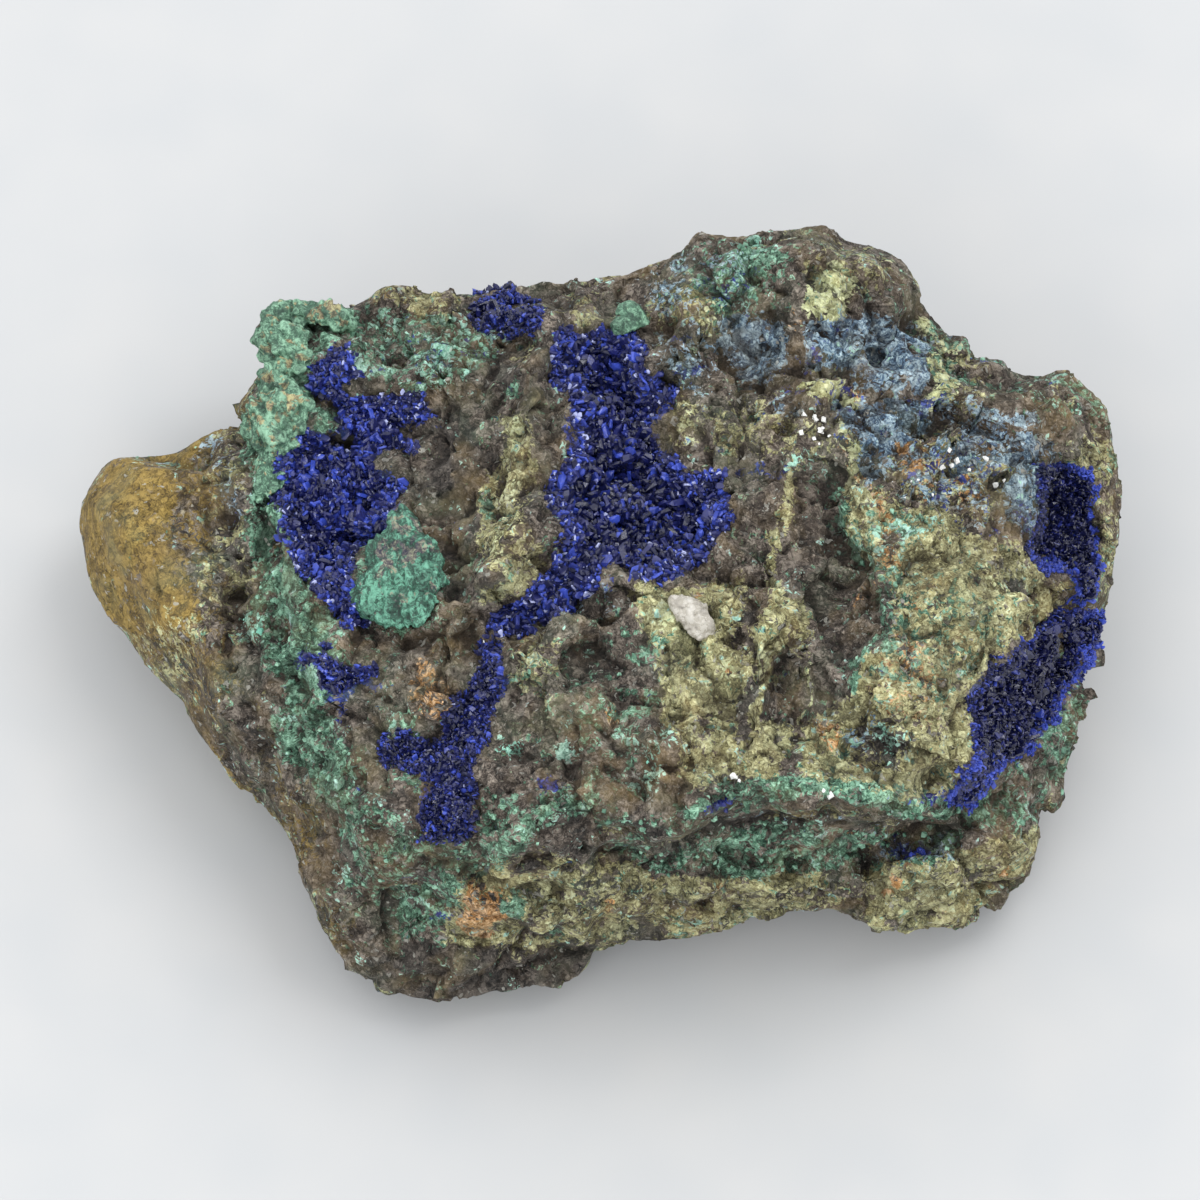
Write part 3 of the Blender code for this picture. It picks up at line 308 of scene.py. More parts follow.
def layered(places: Array, size: float, seed: int) -> Array:
    """Noise of three sizes, each half the one before.

    Args:
        places: Places in millimetres, one a row.
        size: The largest size.
        seed: Which noise.

    Returns:
        One value a place.
    """
    total = np.zeros(len(places))
    for layer in range(3):
        total += wave(places, size / 2.0**layer, seed + 17 * layer) / 1.8**layer
    return total


def facets(places: Array, size: float, seed: int) -> tuple[Array, Array]:
    """Broken facets: each cell about `size` across leans its own way.

    Args:
        places: Places in millimetres, one a row.
        size: How far apart the cells are.
        seed: Which cells.

    Returns:
        How far each place is lifted for a lean of 1, and how far it is from its cell's edge.
    """
    scaled = places / size
    base = np.floor(scaled)
    near = np.full(len(places), 9.0)
    second = np.full(len(places), 9.0)
    offset = np.zeros((len(places), 3))
    key = np.zeros(len(places), dtype=np.uint32)
    for corner in itertools.product((-1.0, 0.0, 1.0), repeat=3):
        cell = base + np.array(corner)
        number = scramble(cell, seed)
        away = scaled - cell - 0.5 - 0.45 * three_shares(number)
        square = (away * away).sum(axis=1)
        closer = square < near
        second = np.where(closer, near, np.minimum(second, square))
        near = np.where(closer, square, near)
        offset[closer] = away[closer]
        key[closer] = number[closer]
    lean = three_shares(key * np.uint32(0x9E3779B1) ^ np.uint32(seed))
    lift = (offset * lean).sum(axis=1) * size * 1.7
    return lift, (np.sqrt(second) - np.sqrt(near)) * size


# ---------- meshes
def read_rows(items: bpy_prop_collection, name: str, width: int, kind: type = float) -> Array:
    """One property of all the parts of a mesh.

    Args:
        items: The parts, such as its vertices.
        name: The property.
        width: How many values each part has.
        kind: What the values are.

    Returns:
        The values, one part a row.
    """
    flat = np.empty(len(items) * width, dtype=kind)
    items.foreach_get(name, flat)
    return flat.reshape(-1, width)


def vertex_array(mesh: Mesh) -> Array:
    """The mesh's vertices in millimetres, one a row."""
    return read_rows(mesh.vertices, "co", 3) / MM


def normal_array(mesh: Mesh) -> Array:
    """The mesh's vertex normals, one a row."""
    return read_rows(mesh.vertices, "normal", 3)


def set_vertices(mesh: Mesh, places: Array) -> None:
    """Moves the mesh's vertices to these places, in millimetres."""
    mesh.vertices.foreach_set("co", (places * MM).astype(np.float32).ravel())
    mesh.update()


def keep_values(mesh: Mesh, name: str, values: Array) -> None:
    """Stores one value a vertex on the mesh, for its material to read.

    Args:
        mesh: The mesh.
        name: The name that the material reads.
        values: One value a vertex.
    """
    made = mesh.attributes.new(name, "FLOAT", "POINT")
    made.data.foreach_set("value", values.astype(np.float32))


def put_in(name: str, data: ID) -> Object:
    """Puts a mesh, a light or a camera in the scene.

    Args:
        name: The object's name.
        data: What it shows.

    Returns:
        The object.
    """
    obj = bpy.data.objects.new(name, data)
    bpy.context.scene.collection.objects.link(obj)
    return obj


def new_piece(name: str, places: Array, faces: Array) -> Object:
    """A piece from places in millimetres and faces of one size.

    Args:
        name: The piece's name.
        places: Vertices, one a row.
        faces: Vertex numbers, one face a row.

    Returns:
        The piece.
    """
    mesh = bpy.data.meshes.new(name)
    mesh.from_pydata((places * MM).tolist(), [], faces.tolist())
    mesh.update()
    return put_in(name, mesh)


def settle_modifiers(obj: Object) -> None:
    """Works out the object's modifiers into its mesh.

    Args:
        obj: The object.
    """
    graph = bpy.context.evaluated_depsgraph_get()
    graph.update()
    mesh = bpy.data.meshes.new_from_object(obj.evaluated_get(graph))
    old = obj.data
    obj.modifiers.clear()
    obj.data = mesh
    bpy.data.meshes.remove(old)


def reshaped_copy(node: str, name: str, voxel: float, turns: int) -> Object:
    """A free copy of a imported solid, meshed evenly and with its facets eased away.

    Args:
        node: The solid's name.
        name: The new piece's name.
        voxel: Cell size in millimetres.
        turns: How many times it is smoothed.

    Returns:
        The new piece.
    """
    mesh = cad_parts[node].data.copy()
    mesh.materials.clear()
    made = put_in(name, mesh)
    made.modifiers.new("weld", "WELD").merge_threshold = WELD_REACH
    settle_modifiers(made)
    fuse = made.modifiers.new("fuse", "REMESH")
    fuse.mode = "VOXEL"
    fuse.voxel_size = voxel * MM
    ease = made.modifiers.new("ease", "SMOOTH")
    ease.factor = 0.5
    ease.iterations = turns
    settle_modifiers(made)
    return made


def soften_values(mesh: Mesh, values: Array, turns: int) -> Array:
    """Evens values out between neighbouring vertices.

    Args:
        mesh: The mesh.
        values: Values, one or more a vertex.
        turns: How many times.

    Returns:
        The evened values.
    """
    ends = read_rows(mesh.edges, "vertices", 2, np.int32)
    both = np.concatenate([ends, ends[:, ::-1]])
    count = np.bincount(both[:, 0], minlength=len(values)).astype(float)
    columns = values.reshape(len(values), -1)
    for _ in range(turns):
        sums = [np.bincount(both[:, 0], c[both[:, 1]], minlength=len(values)) for c in columns.T]
        columns = np.stack(sums, axis=1) / np.maximum(count, 1.0)[:, None]
    return columns.reshape(values.shape)


def standing_proud(mesh: Mesh, turns: int, reach: float) -> Array:
    """How far each vertex stands out of its surroundings.

    Args:
        mesh: The mesh.
        turns: How wide the surroundings are, in smoothing turns.
        reach: The height that counts as 1.

    Returns:
        Values from 0, deep in a hollow, to 1, on a crest.
    """
    places = vertex_array(mesh)
    even = soften_values(mesh, places, turns)
    height = ((places - even) * normal_array(mesh)).sum(axis=1)
    return np.clip(0.5 + 0.5 * height / reach, 0.0, 1.0)


def finish_piece(obj: Object, dress: Material, nodes: tuple[str, ...] = ()) -> None:
    """Gives the piece its material and its body, and hides the solids that it replaces.

    Args:
        obj: The finished piece.
        dress: Its material.
        nodes: The solids that it replaces.
    """
    obj.data.materials.append(dress)
    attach(obj, BODY)
    if nodes:
        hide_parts(*nodes)
    obj.data.calc_loop_triangles()
    log.info("%s: %d triangles", obj.name, len(obj.data.loop_triangles))


# ---------- material nodes
def shade(red: float, green: float, blue: float) -> Colour:
    """A colour as the shaders take it.

    Args:
        red: Its everyday red, 0 to 255.
        green: The same of green.
        blue: The same of blue.

    Returns:
        The colour in linear light.
    """
    parts = [c / 255.0 for c in (red, green, blue)]
    linear = [p / 12.92 if p <= 0.04045 else ((p + 0.055) / 1.055) ** 2.4 for p in parts]
    return (linear[0], linear[1], linear[2])


@dataclass(frozen=True)
class Tones:
    """A mineral's dark, middle and light colour."""

    dark: Colour
    middle: Colour
    light: Colour


def tones(*triples: Triple) -> Tones:
    """A mineral's tones from everyday 0..255 colours, the darkest first."""
    return Tones(*(shade(*triple) for triple in triples))


Value = NodeSocket | float | Triple
HALF = (0.5, 0.5, 0.5)


class Graph:
    """Lays and joins nodes in one node tree."""

    def __init__(self, tree: NodeTree) -> None:
        """Starts on a tree."""
        self.tree = tree

    def add(self, kind: str, **settings: object) -> Node:
        """A new node.

        Args:
            kind: Which node.
            settings: Its properties.

        Returns:
            The node.
        """
        node = self.tree.nodes.new(kind)
        for name, value in settings.items():
            setattr(node, name, value)
        return node

    def feed(self, socket: NodeSocket, value: Value) -> None:
        """Joins a socket to another, or sets its value.

        Args:
            socket: The input.
            value: A socket, a number or a colour.
        """
        if isinstance(value, NodeSocket):
            self.tree.links.new(value, socket)
        elif isinstance(value, tuple) and socket.type == "RGBA":
            socket.default_value = (*value, 1.0)
        else:
            socket.default_value = value

    def fill(self, node: Node, **values: Value) -> Node:
        """Feeds the inputs of a node by their names.

        Args:
            node: The node.
            values: What each input gets; underscores in names stand for spaces.

        Returns:
            The node.
        """
        for name, value in values.items():
            self.feed(node.inputs[name.replace("_", " ")], value)
        return node

    def math(self, operation: str, first: Value, second: Value = 0.0, clamp: bool = False) -> NodeSocket:
        """One sum of two values.

        Args:
            operation: Which sum.
            first: The first value.
            second: The second value.
            clamp: Whether the result is kept in 0..1.

        Returns:
            The result.
        """
        node = self.add("ShaderNodeMath", operation=operation, use_clamp=clamp)
        self.feed(node.inputs[0], first)
        self.feed(node.inputs[1], second)
        return node.outputs[0]

    def total(self, *parts: tuple[NodeSocket, float]) -> NodeSocket:
        """Several values added up.

        Args:
            parts: Each value with its weight.

        Returns:
            The sum.
        """
        shares = [self.math("MULTIPLY", value, weight) for value, weight in parts]
        return functools.reduce(functools.partial(self.math, "ADD"), shares)

    def vector(self, operation: str, *values: Value) -> NodeSocket:
        """One sum of vectors.

        Args:
            operation: Which sum.
            values: The vectors.

        Returns:
            The result.
        """
        node = self.add("ShaderNodeVectorMath", operation=operation)
        for socket, value in zip(node.inputs, values):
            self.feed(socket, value)
        return node.outputs[0]

    def blend(self, share: Value, low: Value, high: Value, way: str = "MIX") -> NodeSocket:
        """A colour between two.

        Args:
            share: 0 for the first, 1 for the second.
            low: The first colour.
            high: The second colour.
            way: How they are blended.

        Returns:
            The colour.
        """
        node = self.add("ShaderNodeMix", data_type="RGBA", blend_type=way)
        self.feed(node.inputs[0], share)
        self.feed(node.inputs[6], low)
        self.feed(node.inputs[7], high)
        return node.outputs[2]

    def stretch(self, value: Value, low: float, high: float, bottom: float = 0.0, top: float = 1.0,
                eased: bool = False) -> NodeSocket:
        """A value moved from one range to another and kept in it.

        Args:
            value: The value.
            low: Start of its range.
            high: End of its range.
            bottom: What low becomes.
            top: What high becomes.
            eased: Whether it leaves and arrives softly.

        Returns:
            The moved value.
        """
        way = "SMOOTHSTEP" if eased else "LINEAR"
        node = self.add("ShaderNodeMapRange", interpolation_type=way)
        for index, part in enumerate((value, low, high, bottom, top)):
            self.feed(node.inputs[index], part)
        return node.outputs[0]

    def noise(self, where: NodeSocket, size: float, detail: float = 3.0, rough: float = 0.6) -> NodeSocket:
        """Noise spread over 0..1.

        Args:
            where: The coordinates, in metres.
            size: How far apart its bumps are, in millimetres.
            detail: How many finer sizes it holds.
            rough: How strong those are.

        Returns:
            The noise.
        """
        node = self.add("ShaderNodeTexNoise")
        self.fill(node, Vector=where, Scale=1.0 / (size * MM), Detail=detail, Roughness=rough)
        return self.stretch(node.outputs[0], 0.27, 0.73)

    def moved(self, where: NodeSocket, by: Triple, scale: Triple = (1.0, 1.0, 1.0)) -> NodeSocket:
        """Coordinates moved and scaled.

        Args:
            where: The coordinates.
            by: How far, in metres.
            scale: Scale along each axis.

        Returns:
            The new coordinates.
        """
        node = self.fill(self.add("ShaderNodeMapping"), Vector=where, Location=by, Scale=scale)
        return node.outputs[0]

    def bent(self, where: NodeSocket, size: float, reach: float) -> NodeSocket:
        """Coordinates pushed about by noise, so that what is read at them is irregular.

        Args:
            where: The coordinates, in metres.
            size: How far apart the pushes are, in millimetres.
            reach: How far the strongest goes, in millimetres.

        Returns:
            The new coordinates.
        """
        swirl = self.fill(self.add("ShaderNodeTexNoise"), Vector=where, Scale=1.0 / (size * MM), Detail=1.0)
        centred = self.vector("SUBTRACT", swirl.outputs["Color"], HALF)
        return self.vector("MULTIPLY_ADD", centred, (4.0 * reach * MM,) * 3, where)

    def place(self) -> NodeSocket:
        """The piece's own coordinates, in metres."""
        return self.add("ShaderNodeTexCoord").outputs["Object"]

    def kept(self, name: str) -> NodeSocket:
        """A value stored on the mesh."""
        return self.add("ShaderNodeAttribute", attribute_name=name).outputs["Fac"]

    def group(self, tree: NodeTree, **values: Value) -> Node:
        """A shared group with its inputs fed."""
        return self.fill(self.add("ShaderNodeGroup", node_tree=tree), **values)

    def bump(self, height: NodeSocket, depth: float, strength: float) -> NodeSocket:
        """A normal from a height.

        Args:
            height: The height, 0..1.
            depth: How deep 1 is, in millimetres.
            strength: How much of it shows.

        Returns:
            The normal.
        """
        node = self.add("ShaderNodeBump")
        return self.fill(node, Distance=depth * MM, Strength=strength, Height=height).outputs[0]


def new_group(name: str, takes: dict[str, str], gives: dict[str, str]) -> tuple[Graph, Node, Node]:
    """An empty shared group with its sockets.

    Args:
        name: The group's name.
        takes: Input names and their socket kinds.
        gives: Output names and their socket kinds.

    Returns:
        Its graph, its input node and its output node.
    """
    tree = bpy.data.node_groups.new(name, "ShaderNodeTree")
    for label, kind in takes.items():
        tree.interface.new_socket(name=label, in_out="INPUT", socket_type="NodeSocket" + kind)
    for label, kind in gives.items():
        tree.interface.new_socket(name=label, in_out="OUTPUT", socket_type="NodeSocket" + kind)
    graph = Graph(tree)
    return graph, graph.add("NodeGroupInput"), graph.add("NodeGroupOutput")


class SharedEffects:
    """The shader groups that several of the finishes use, built once."""

    def __init__(self) -> None:
        """Builds the groups."""
        self.ragged_cover = self._ragged_cover()
        self.three_tones = self._three_tones()
        self.grit = self._grit()

    def colour(self, g: Graph, tone: NodeSocket, mineral: Tones) -> NodeSocket:
        """A mineral's colour at each place.

        Args:
            g: The material's graph.
            tone: 0 for the dark colour, 1 for the light one.
            mineral: The three colours.

        Returns:
            The colour.
        """
        made = g.group(self.three_tones, Tone=tone, Dark=mineral.dark, Middle=mineral.middle)
        return g.fill(made, Light=mineral.light).outputs["Color"]

    @staticmethod
    def _ragged_cover() -> NodeTree:
        """Turns a soft field into a cover with a crumbled edge."""
        takes = {"Field": "Float", "Break": "Float", "Rag": "Float", "Edge": "Float"}
        g, given, made = new_group("ragged cover", takes, {"Cover": "Float"})
        broken = g.math("SUBTRACT", given.outputs["Break"], 0.5)
        broken = g.math("MULTIPLY", broken, given.outputs["Rag"])
        height = g.math("ADD", given.outputs["Field"], broken)
        height = g.math("DIVIDE", g.math("SUBTRACT", height, 0.5), given.outputs["Edge"])
        g.fill(made, Cover=g.stretch(height, -0.5, 0.5, eased=True))
        return g.tree

    @staticmethod
    def _three_tones() -> NodeTree:
        """One mineral's dark, middle and light colour, by a tone."""
        takes = {"Tone": "Float", "Dark": "Color", "Middle": "Color", "Light": "Color"}
        g, given, made = new_group("three tones", takes, {"Color": "Color"})
        low = g.stretch(given.outputs["Tone"], 0.0, 0.5)
        high = g.stretch(given.outputs["Tone"], 0.5, 1.0)
        colour = g.blend(low, given.outputs["Dark"], given.outputs["Middle"])
        g.fill(made, Color=g.blend(high, colour, given.outputs["Light"]))
        return g.tree

    @staticmethod
    def _grit() -> NodeTree:
        """The scales and granules of a broken surface: a tone, a height, the gaps, three shares a granule."""
        gives = {"Tone": "Float", "Height": "Float", "Gap": "Float", "Shares": "Vector"}
        g, given, made = new_group("grit", {"Vector": "Vector"}, gives)
        where = g.bent(given.outputs["Vector"], 0.6, 0.20)
        sand = g.noise(where, 0.17, 3.0, 0.7)
        clouds = g.noise(where, 2.6, 3.0, 0.62)
        patches = g.stretch(g.noise(g.moved(where, (0.3, 0.1, 0.2)), 1.7, 1.0, 0.6), 0.35, 0.75)
        levels = []
        for size in (0.66, 0.29):
            node = g.add("ShaderNodeTexVoronoi")
            levels.append(g.fill(node, Vector=where, Scale=1.0 / (size * MM)))
        shares = g.vector("ADD", levels[0].outputs["Color"], levels[1].outputs["Color"])
        shares = g.vector("MULTIPLY_ADD", shares, HALF, (-0.5, -0.5, -0.5))
        split = g.fill(g.add("ShaderNodeSeparateXYZ"), Vector=shares)
        tone = g.total((sand, 0.52), (clouds, 0.26), (split.outputs[2], 0.58))
        gaps = []
        for node in levels:
            reach = g.math("ADD", node.outputs["Distance"], g.math("MULTIPLY", sand, -0.3))
            gaps.append(g.stretch(reach, 0.30, 0.60))
        gap = g.math("MULTIPLY", g.math("MAXIMUM", gaps[0], g.math("MULTIPLY", gaps[1], 0.8)), patches)
        height = g.total((gap, -0.6), (sand, 0.5), (split.outputs[2], 0.5))
        g.fill(made, Tone=g.stretch(tone, 0.12, 0.60), Height=height, Gap=gap, Shares=shares)
        return g.tree


def new_material(name: str) -> tuple[Material, Graph, Node]:
    """A material with its Principled shader.

    Args:
        name: The material's name.

    Returns:
        The material, its graph and the shader.
    """
    made = bpy.data.materials.new(name)
    made.use_nodes = True
    shader = made.node_tree.nodes["Principled BSDF"]
    return made, Graph(made.node_tree), shader


# ---------- where each mineral shows
class Mineral(Enum):
    """The coatings on the brown rock, lowest first. The value is the name kept on the mesh."""

    OCHRE = "ochre"
    OLIVE = "olive"
    PALE = "pale"
    RUST = "rust"
    MALACHITE = "malachite"
    BLUE_GREY = "blue_grey"
    # Charcoal-dark rock, and painted shade in recesses, cracks, pits and low on the flanks.
    CHARCOAL_AND_SHADE = "charcoal_and_shade"
    AQUA = "aqua"
    AZURITE = "azurite"


# Outlines of the azurite crusts on the show face.
LEFT_HOLLOW = [
    (-21.6, 17), (-20.2, 19.1), (-18.9, 19.1), (-18.4, 17.1), (-16.5, 15.9), (-13, 15.3), (-12.5, 13.5),
    (-14, 11.8), (-15.1, 9.3), (-15.5, 6.7), (-16.7, 4.9), (-18.4, 3.7), (-19.1, 1.9), (-18.5, -0.2),
    (-16.8, -2.1), (-19.1, -1.5), (-21, 0), (-22.4, 2), (-23.4, 4.1), (-24.2, 6.6), (-24.3, 12.2),
    (-23, 13.6), (-21.6, 13.5),
]
CENTRE_HOLLOW = [
    (-3.7, 19), (-2.7, 20), (0, 20.3), (2.3, 20.2), (3.4, 19.4), (3.1, 17.9), (4, 16.9), (5.5, 16.2),
    (5.1, 13.6), (6.3, 9.7), (8.9, 9.2), (9.7, 7.6), (9.2, 6), (8.4, 4.1), (7, 2.8), (4.5, 1.5), (2.6, 1.8),
    (0.3, 2.1), (-0.6, 0.8), (-2.9, -0.9), (-6, -2.4), (-8.4, -2.8), (-8.8, -2.1), (-7.4, -0.8), (-5.3, 0.3),
    (-3.7, 1.8), (-2.5, 3.4), (-2.7, 5.8), (-3.8, 7.5), (-3.4, 8.7), (-2.5, 10), (-1.8, 12), (-2.1, 15.5),
    (-3.6, 16.1),
]
Y_VEIN = [
    (-8.6, -3.4), (-7.5, -3.5), (-7.3, -6.9), (-8.3, -8.9), (-8.8, -11.2), (-9.9, -13), (-9.6, -15.3),
    (-9.7, -17.8), (-13.1, -17.8), (-13.1, -15.3), (-12.5, -13.9), (-14.2, -12.5), (-16.1, -12.2),
    (-16.6, -10.9), (-15.3, -9.7), (-13.4, -10.3), (-11.9, -10.8), (-11.5, -8.7), (-10.6, -7), (-9.1, -6.1),
]
SIDE_PATCH = [
    (-22.9, -4.2), (-20.7, -3.5), (-18.1, -4.2), (-16.6, -6.1), (-16.8, -8.6), (-19, -9), (-21, -7.8),
    (-22.7, -6.3),
]
UPPER_POCKET = [
    (33.5, 9.9), (35.3, 10.3), (37.2, 9.6), (37.6, 7.6), (37.6, 3.1), (37.5, 0.5), (36.5, 0.2), (36, 1.7),
    (35.2, 2.4), (32.9, 2.8), (32.4, 4), (33.3, 5.2), (33.4, 8.4),
]
LENS_POCKET = [
    (37.9, -1.2), (37.5, -3.1), (36.7, -4.7), (35.6, -6.9), (34.8, -8.6), (32.9, -10.9), (31.5, -11.9),
    (29.5, -12.9), (28.7, -14.5), (27.7, -15.8), (26.5, -15.3), (26.8, -13.8), (28.2, -12.2), (28.1, -9),
    (28, -6.6), (29.5, -4.9), (31.4, -3.4), (33.7, -2.1), (36, -0.8),
]
TOP_TUFT = [
    (-9.9, 21.9), (-9.2, 23.1), (-7.6, 23.4), (-6.1, 23.2), (-4.7, 22.2), (-4.6, 21), (-6.1, 20.3),
    (-8, 20.6), (-9.3, 20.9),
]
AZURITE_OUTLINES = (
    LEFT_HOLLOW, CENTRE_HOLLOW, Y_VEIN, SIDE_PATCH, UPPER_POCKET, LENS_POCKET, TOP_TUFT,
)
LEDGE = [
    (-7.6, -19.1), (-3.9, -15.3), (-0.6, -15.3), (1.7, -16.8), (4.6, -16.8), (9, -14.8), (15.3, -14.1),
    (21.4, -14.7), (26.4, -15.8),
]
BROWN_RIB = [(-0.8, 22.8), (-4, 20.5), (-5.2, 15.3), (-4.2, 9), (-7.3, 3.1), (-11.1, -1.7), (-12.1, -7.6)]
OLIVE_DOME_EDGE = [
    (17.8, 8.4), (18.4, 5.3), (20, 3.4), (21.3, 1.5), (21.7, -0.3), (21.9, -2.7), (19.3, -4.7), (18.7, -6.9),
]
FRONT_FACE = [
    (-13, -20), (-7.6, -19.1), (0, -20), (7.6, -20.8), (17.6, -20.5), (18.7, -23.3), (14.5, -24.1),
    (9.2, -25.6), (0, -26), (-6.1, -26.8), (-12.2, -25.6),
]
LOWER_LOBE = [
    (19.1, -21.4), (21.4, -19.1), (27.5, -18.7), (33.3, -16.8), (34.4, -13.8), (33.7, -19.9), (30.6, -22.6),
    (26.8, -25.4), (19.9, -24.9),
]
UPPER_SHELF = [(-19, 21.6), (-12.2, 22), (-6.7, 20.5), (-7.2, 18.7), (-9.9, 16.5), (-15, 15.9), (-19, 17.9)]

LEFT_BARE = rounds(
    (-19.4, 11.7, 1.8, 1.1, 1), (-15.8, 10.3, 1.7, 1.2, 0.9), (-20.8, 13.8, 1.4, 1.3, 1),
    (-18, 16.1, 1.9, 0.8, 0.9), (-21, 8.6, 0.7, 1, 0.45), (-18.3, 8.4, 0.8, 0.8, 0.45),
    (-14.1, 12.8, 1.5, 1, 0.7),
)
SIDE_BARE = rounds(
    (-21.9, -6, 1.1, 1.1, 0.8), (-18, -7.7, 1.5, 1.3, 0.8), (-20.7, -7.9, 0.8, 1, 0.6),
    (-19, -4.2, 1.1, 0.8, 0.6),
)
CENTRE_BARE = rounds((-2.8, 14.8, 0.6, 1.1, 0.4), (5, 13, 1.4, 2, 0.7), (1, 2.3, 1, 0.8, 0.4))
# Places that a coating leaves bare.
OLIVE_BARE = (
    Zone([(12.7, -3.8), (14.5, -2.8), (15.6, -4.6), (15.8, -8.6), (14.2, -9.9), (12.5, -8.6)], 0.9, 0.8),
    *rounds(
        (11.9, -0.4, 0.9, 2.1, 0.9), (10.7, -3.2, 1.2, 0.8, 0.8), (11.1, -7.9, 0.8, 2.7, 0.9),
        (7.9, -9.7, 0.7, 1.3, 0.7), (5.9, -13, 1, 2.3, 0.5),
    ),
)
PALE_BARE = rounds((11.9, -0.4, 0.9, 2.1, 0.8))
MALACHITE_BARE = rounds(
    (-24.9, -6.9, 1.9, 3.8, 0.35), (-16.4, -18.4, 2.7, 4.6, 0.3), (2.3, -16.1, 5.4, 0.8, 0.25),
    (-9, -23.3, 1.7, 2.1, 1, 0, 0.8),
)
BARE_SPOTS: dict[Mineral, Sequence[Shape]] = {
    Mineral.AZURITE: (*LEFT_BARE, *SIDE_BARE, *CENTRE_BARE), Mineral.OLIVE: OLIVE_BARE,
    Mineral.PALE: PALE_BARE, Mineral.MALACHITE: MALACHITE_BARE,
}
# Where the rock's own relief is stronger, by share.
ROUGH_GROUND = rounds(
    (16.1, 15.7, 9.2, 6.5, 0.7), (26, 9.6, 5.4, 4.2, 0.9), (-12.8, 19.1, 6.7, 3.4, 0.7),
    (6.1, 18.7, 3.1, 5, 0.6), (-7.6, 1.1, 1.5, 1.9, 0.5),
)

OCHRE_COVER = (
    Zone([
        (-41.3, 6.1), (-39.8, 10.7), (-36, 12.2), (-29.5, 14.7), (-27.1, 13.9), (-29.5, 11.8), (-31.7, 9.2),
        (-32.4, 5.4), (-30.9, 1.5), (-30.1, -2.3), (-34.4, -3.8), (-37.5, -2.3), (-40.5, 0.8),
    ], 0.97, 3),
    Run([
        (-37.9, -0.8), (-33.7, -7.6), (-29.5, -13.8), (-25.9, -19.1), (-24.1, -25.2), (-20.7, -29.8),
    ], 2.8, 0.7),
    *rounds(
        (-32.4, -5.7, 6.6, 8.8, 0.66), (-30.4, -6.1, 4, 4.6, 0.58), (-29.4, 6.1, 3.9, 9.2, 0.6),
        (6.1, -9.2, 3.1, 6.1, 0.3), (-25.8, -11.5, 2.9, 3.8, 0.46), (-22.8, -17.6, 2.5, 5.4, 0.56),
        (-24.9, -19.1, 1.9, 3.8, 0.62), (17.4, -9.9, 1.6, 1.8, 0.62), (-19.9, -24.5, 3.1, 3.8, 0.44),
        (-26.9, 13.8, 1, 1.5, 0.6), (-14.5, 22.3, 5.4, 0.7, 0.4),
    ),
)
OLIVE_COVER = (
    Zone([
        (18, 9.2), (22.9, 7.3), (27.5, 6.1), (32.9, 3.1), (35.3, 0), (30.6, -3.8), (27.9, -7.6),
        (27.7, -12.2), (25.2, -15.7), (15.3, -14.5), (15.7, -9.9), (18.7, -7), (19.1, -4.7), (21.9, -2.7),
        (21.6, -0.3), (20, 3.4), (18.4, 5.3),
    ], 1, 1.4),
    Zone([
        (2.8, 1.4), (7.6, 1.1), (11.1, 2.3), (13, 0), (15.3, 0), (15.8, -3.1), (14.9, -10.7), (13, -13.4),
        (7.6, -14.2), (5.5, -12.2), (4.6, -7.6), (3.4, -3.1),
    ], 0.92, 1),
    Zone(FRONT_FACE, 0.92, 1.6),
    Zone(LOWER_LOBE, 0.9, 1.4),
    Zone([
        (-7.4, 13.8), (-5.4, 14.2), (-4.7, 9.9), (-5.5, 6.1), (-4.7, 2.3), (-6.1, 0), (-9.1, 0), (-8.7, 4.2),
        (-9.1, 7.6), (-7.6, 9.9),
    ], 0.92, 0.8),
    Run([(14.5, 9.9), (13.6, 5.4), (13.2, 0), (12.1, -4.6), (12.2, -10.7)], 0.9, 0.85),
    *rounds(
        (-13.8, 22.9, 4.5, 1.4, 0.62), (-1, 21.7, 2.1, 1.7, 0.62), (-28.2, 5.4, 2.4, 8.4, 0.56),
        (-33.3, -3.8, 4.2, 5.4, 0.5), (37.3, 10.5, 2.3, 2.9, 0.66), (38.6, 3.8, 1.5, 5.4, 0.6),
        (35.3, -11.2, 2, 5.7, 0.55), (-5, -5.1, 2.1, 3.1, 0.66), (6.2, 14, 1.5, 2.9, 0.62),
        (12.2, 12.9, 3.1, 3, 0.5), (8, 22.8, 4.2, 2.6, 0.56), (15.3, 12.2, 2.3, 2.3, 0.5),
        (27.9, 17.2, 1.9, 3.4, 0.45), (33.9, 0.4, 2.9, 1.9, 0.6), (-12.8, -22.8, 2.9, 2.9, 0.5),
        (19.1, 25.4, 3.8, 2.4, 0.42), (26.4, 9.4, 5, 3.6, 0.55), (9.9, 12.6, 2.3, 2.7, 0.5),
    ),
)
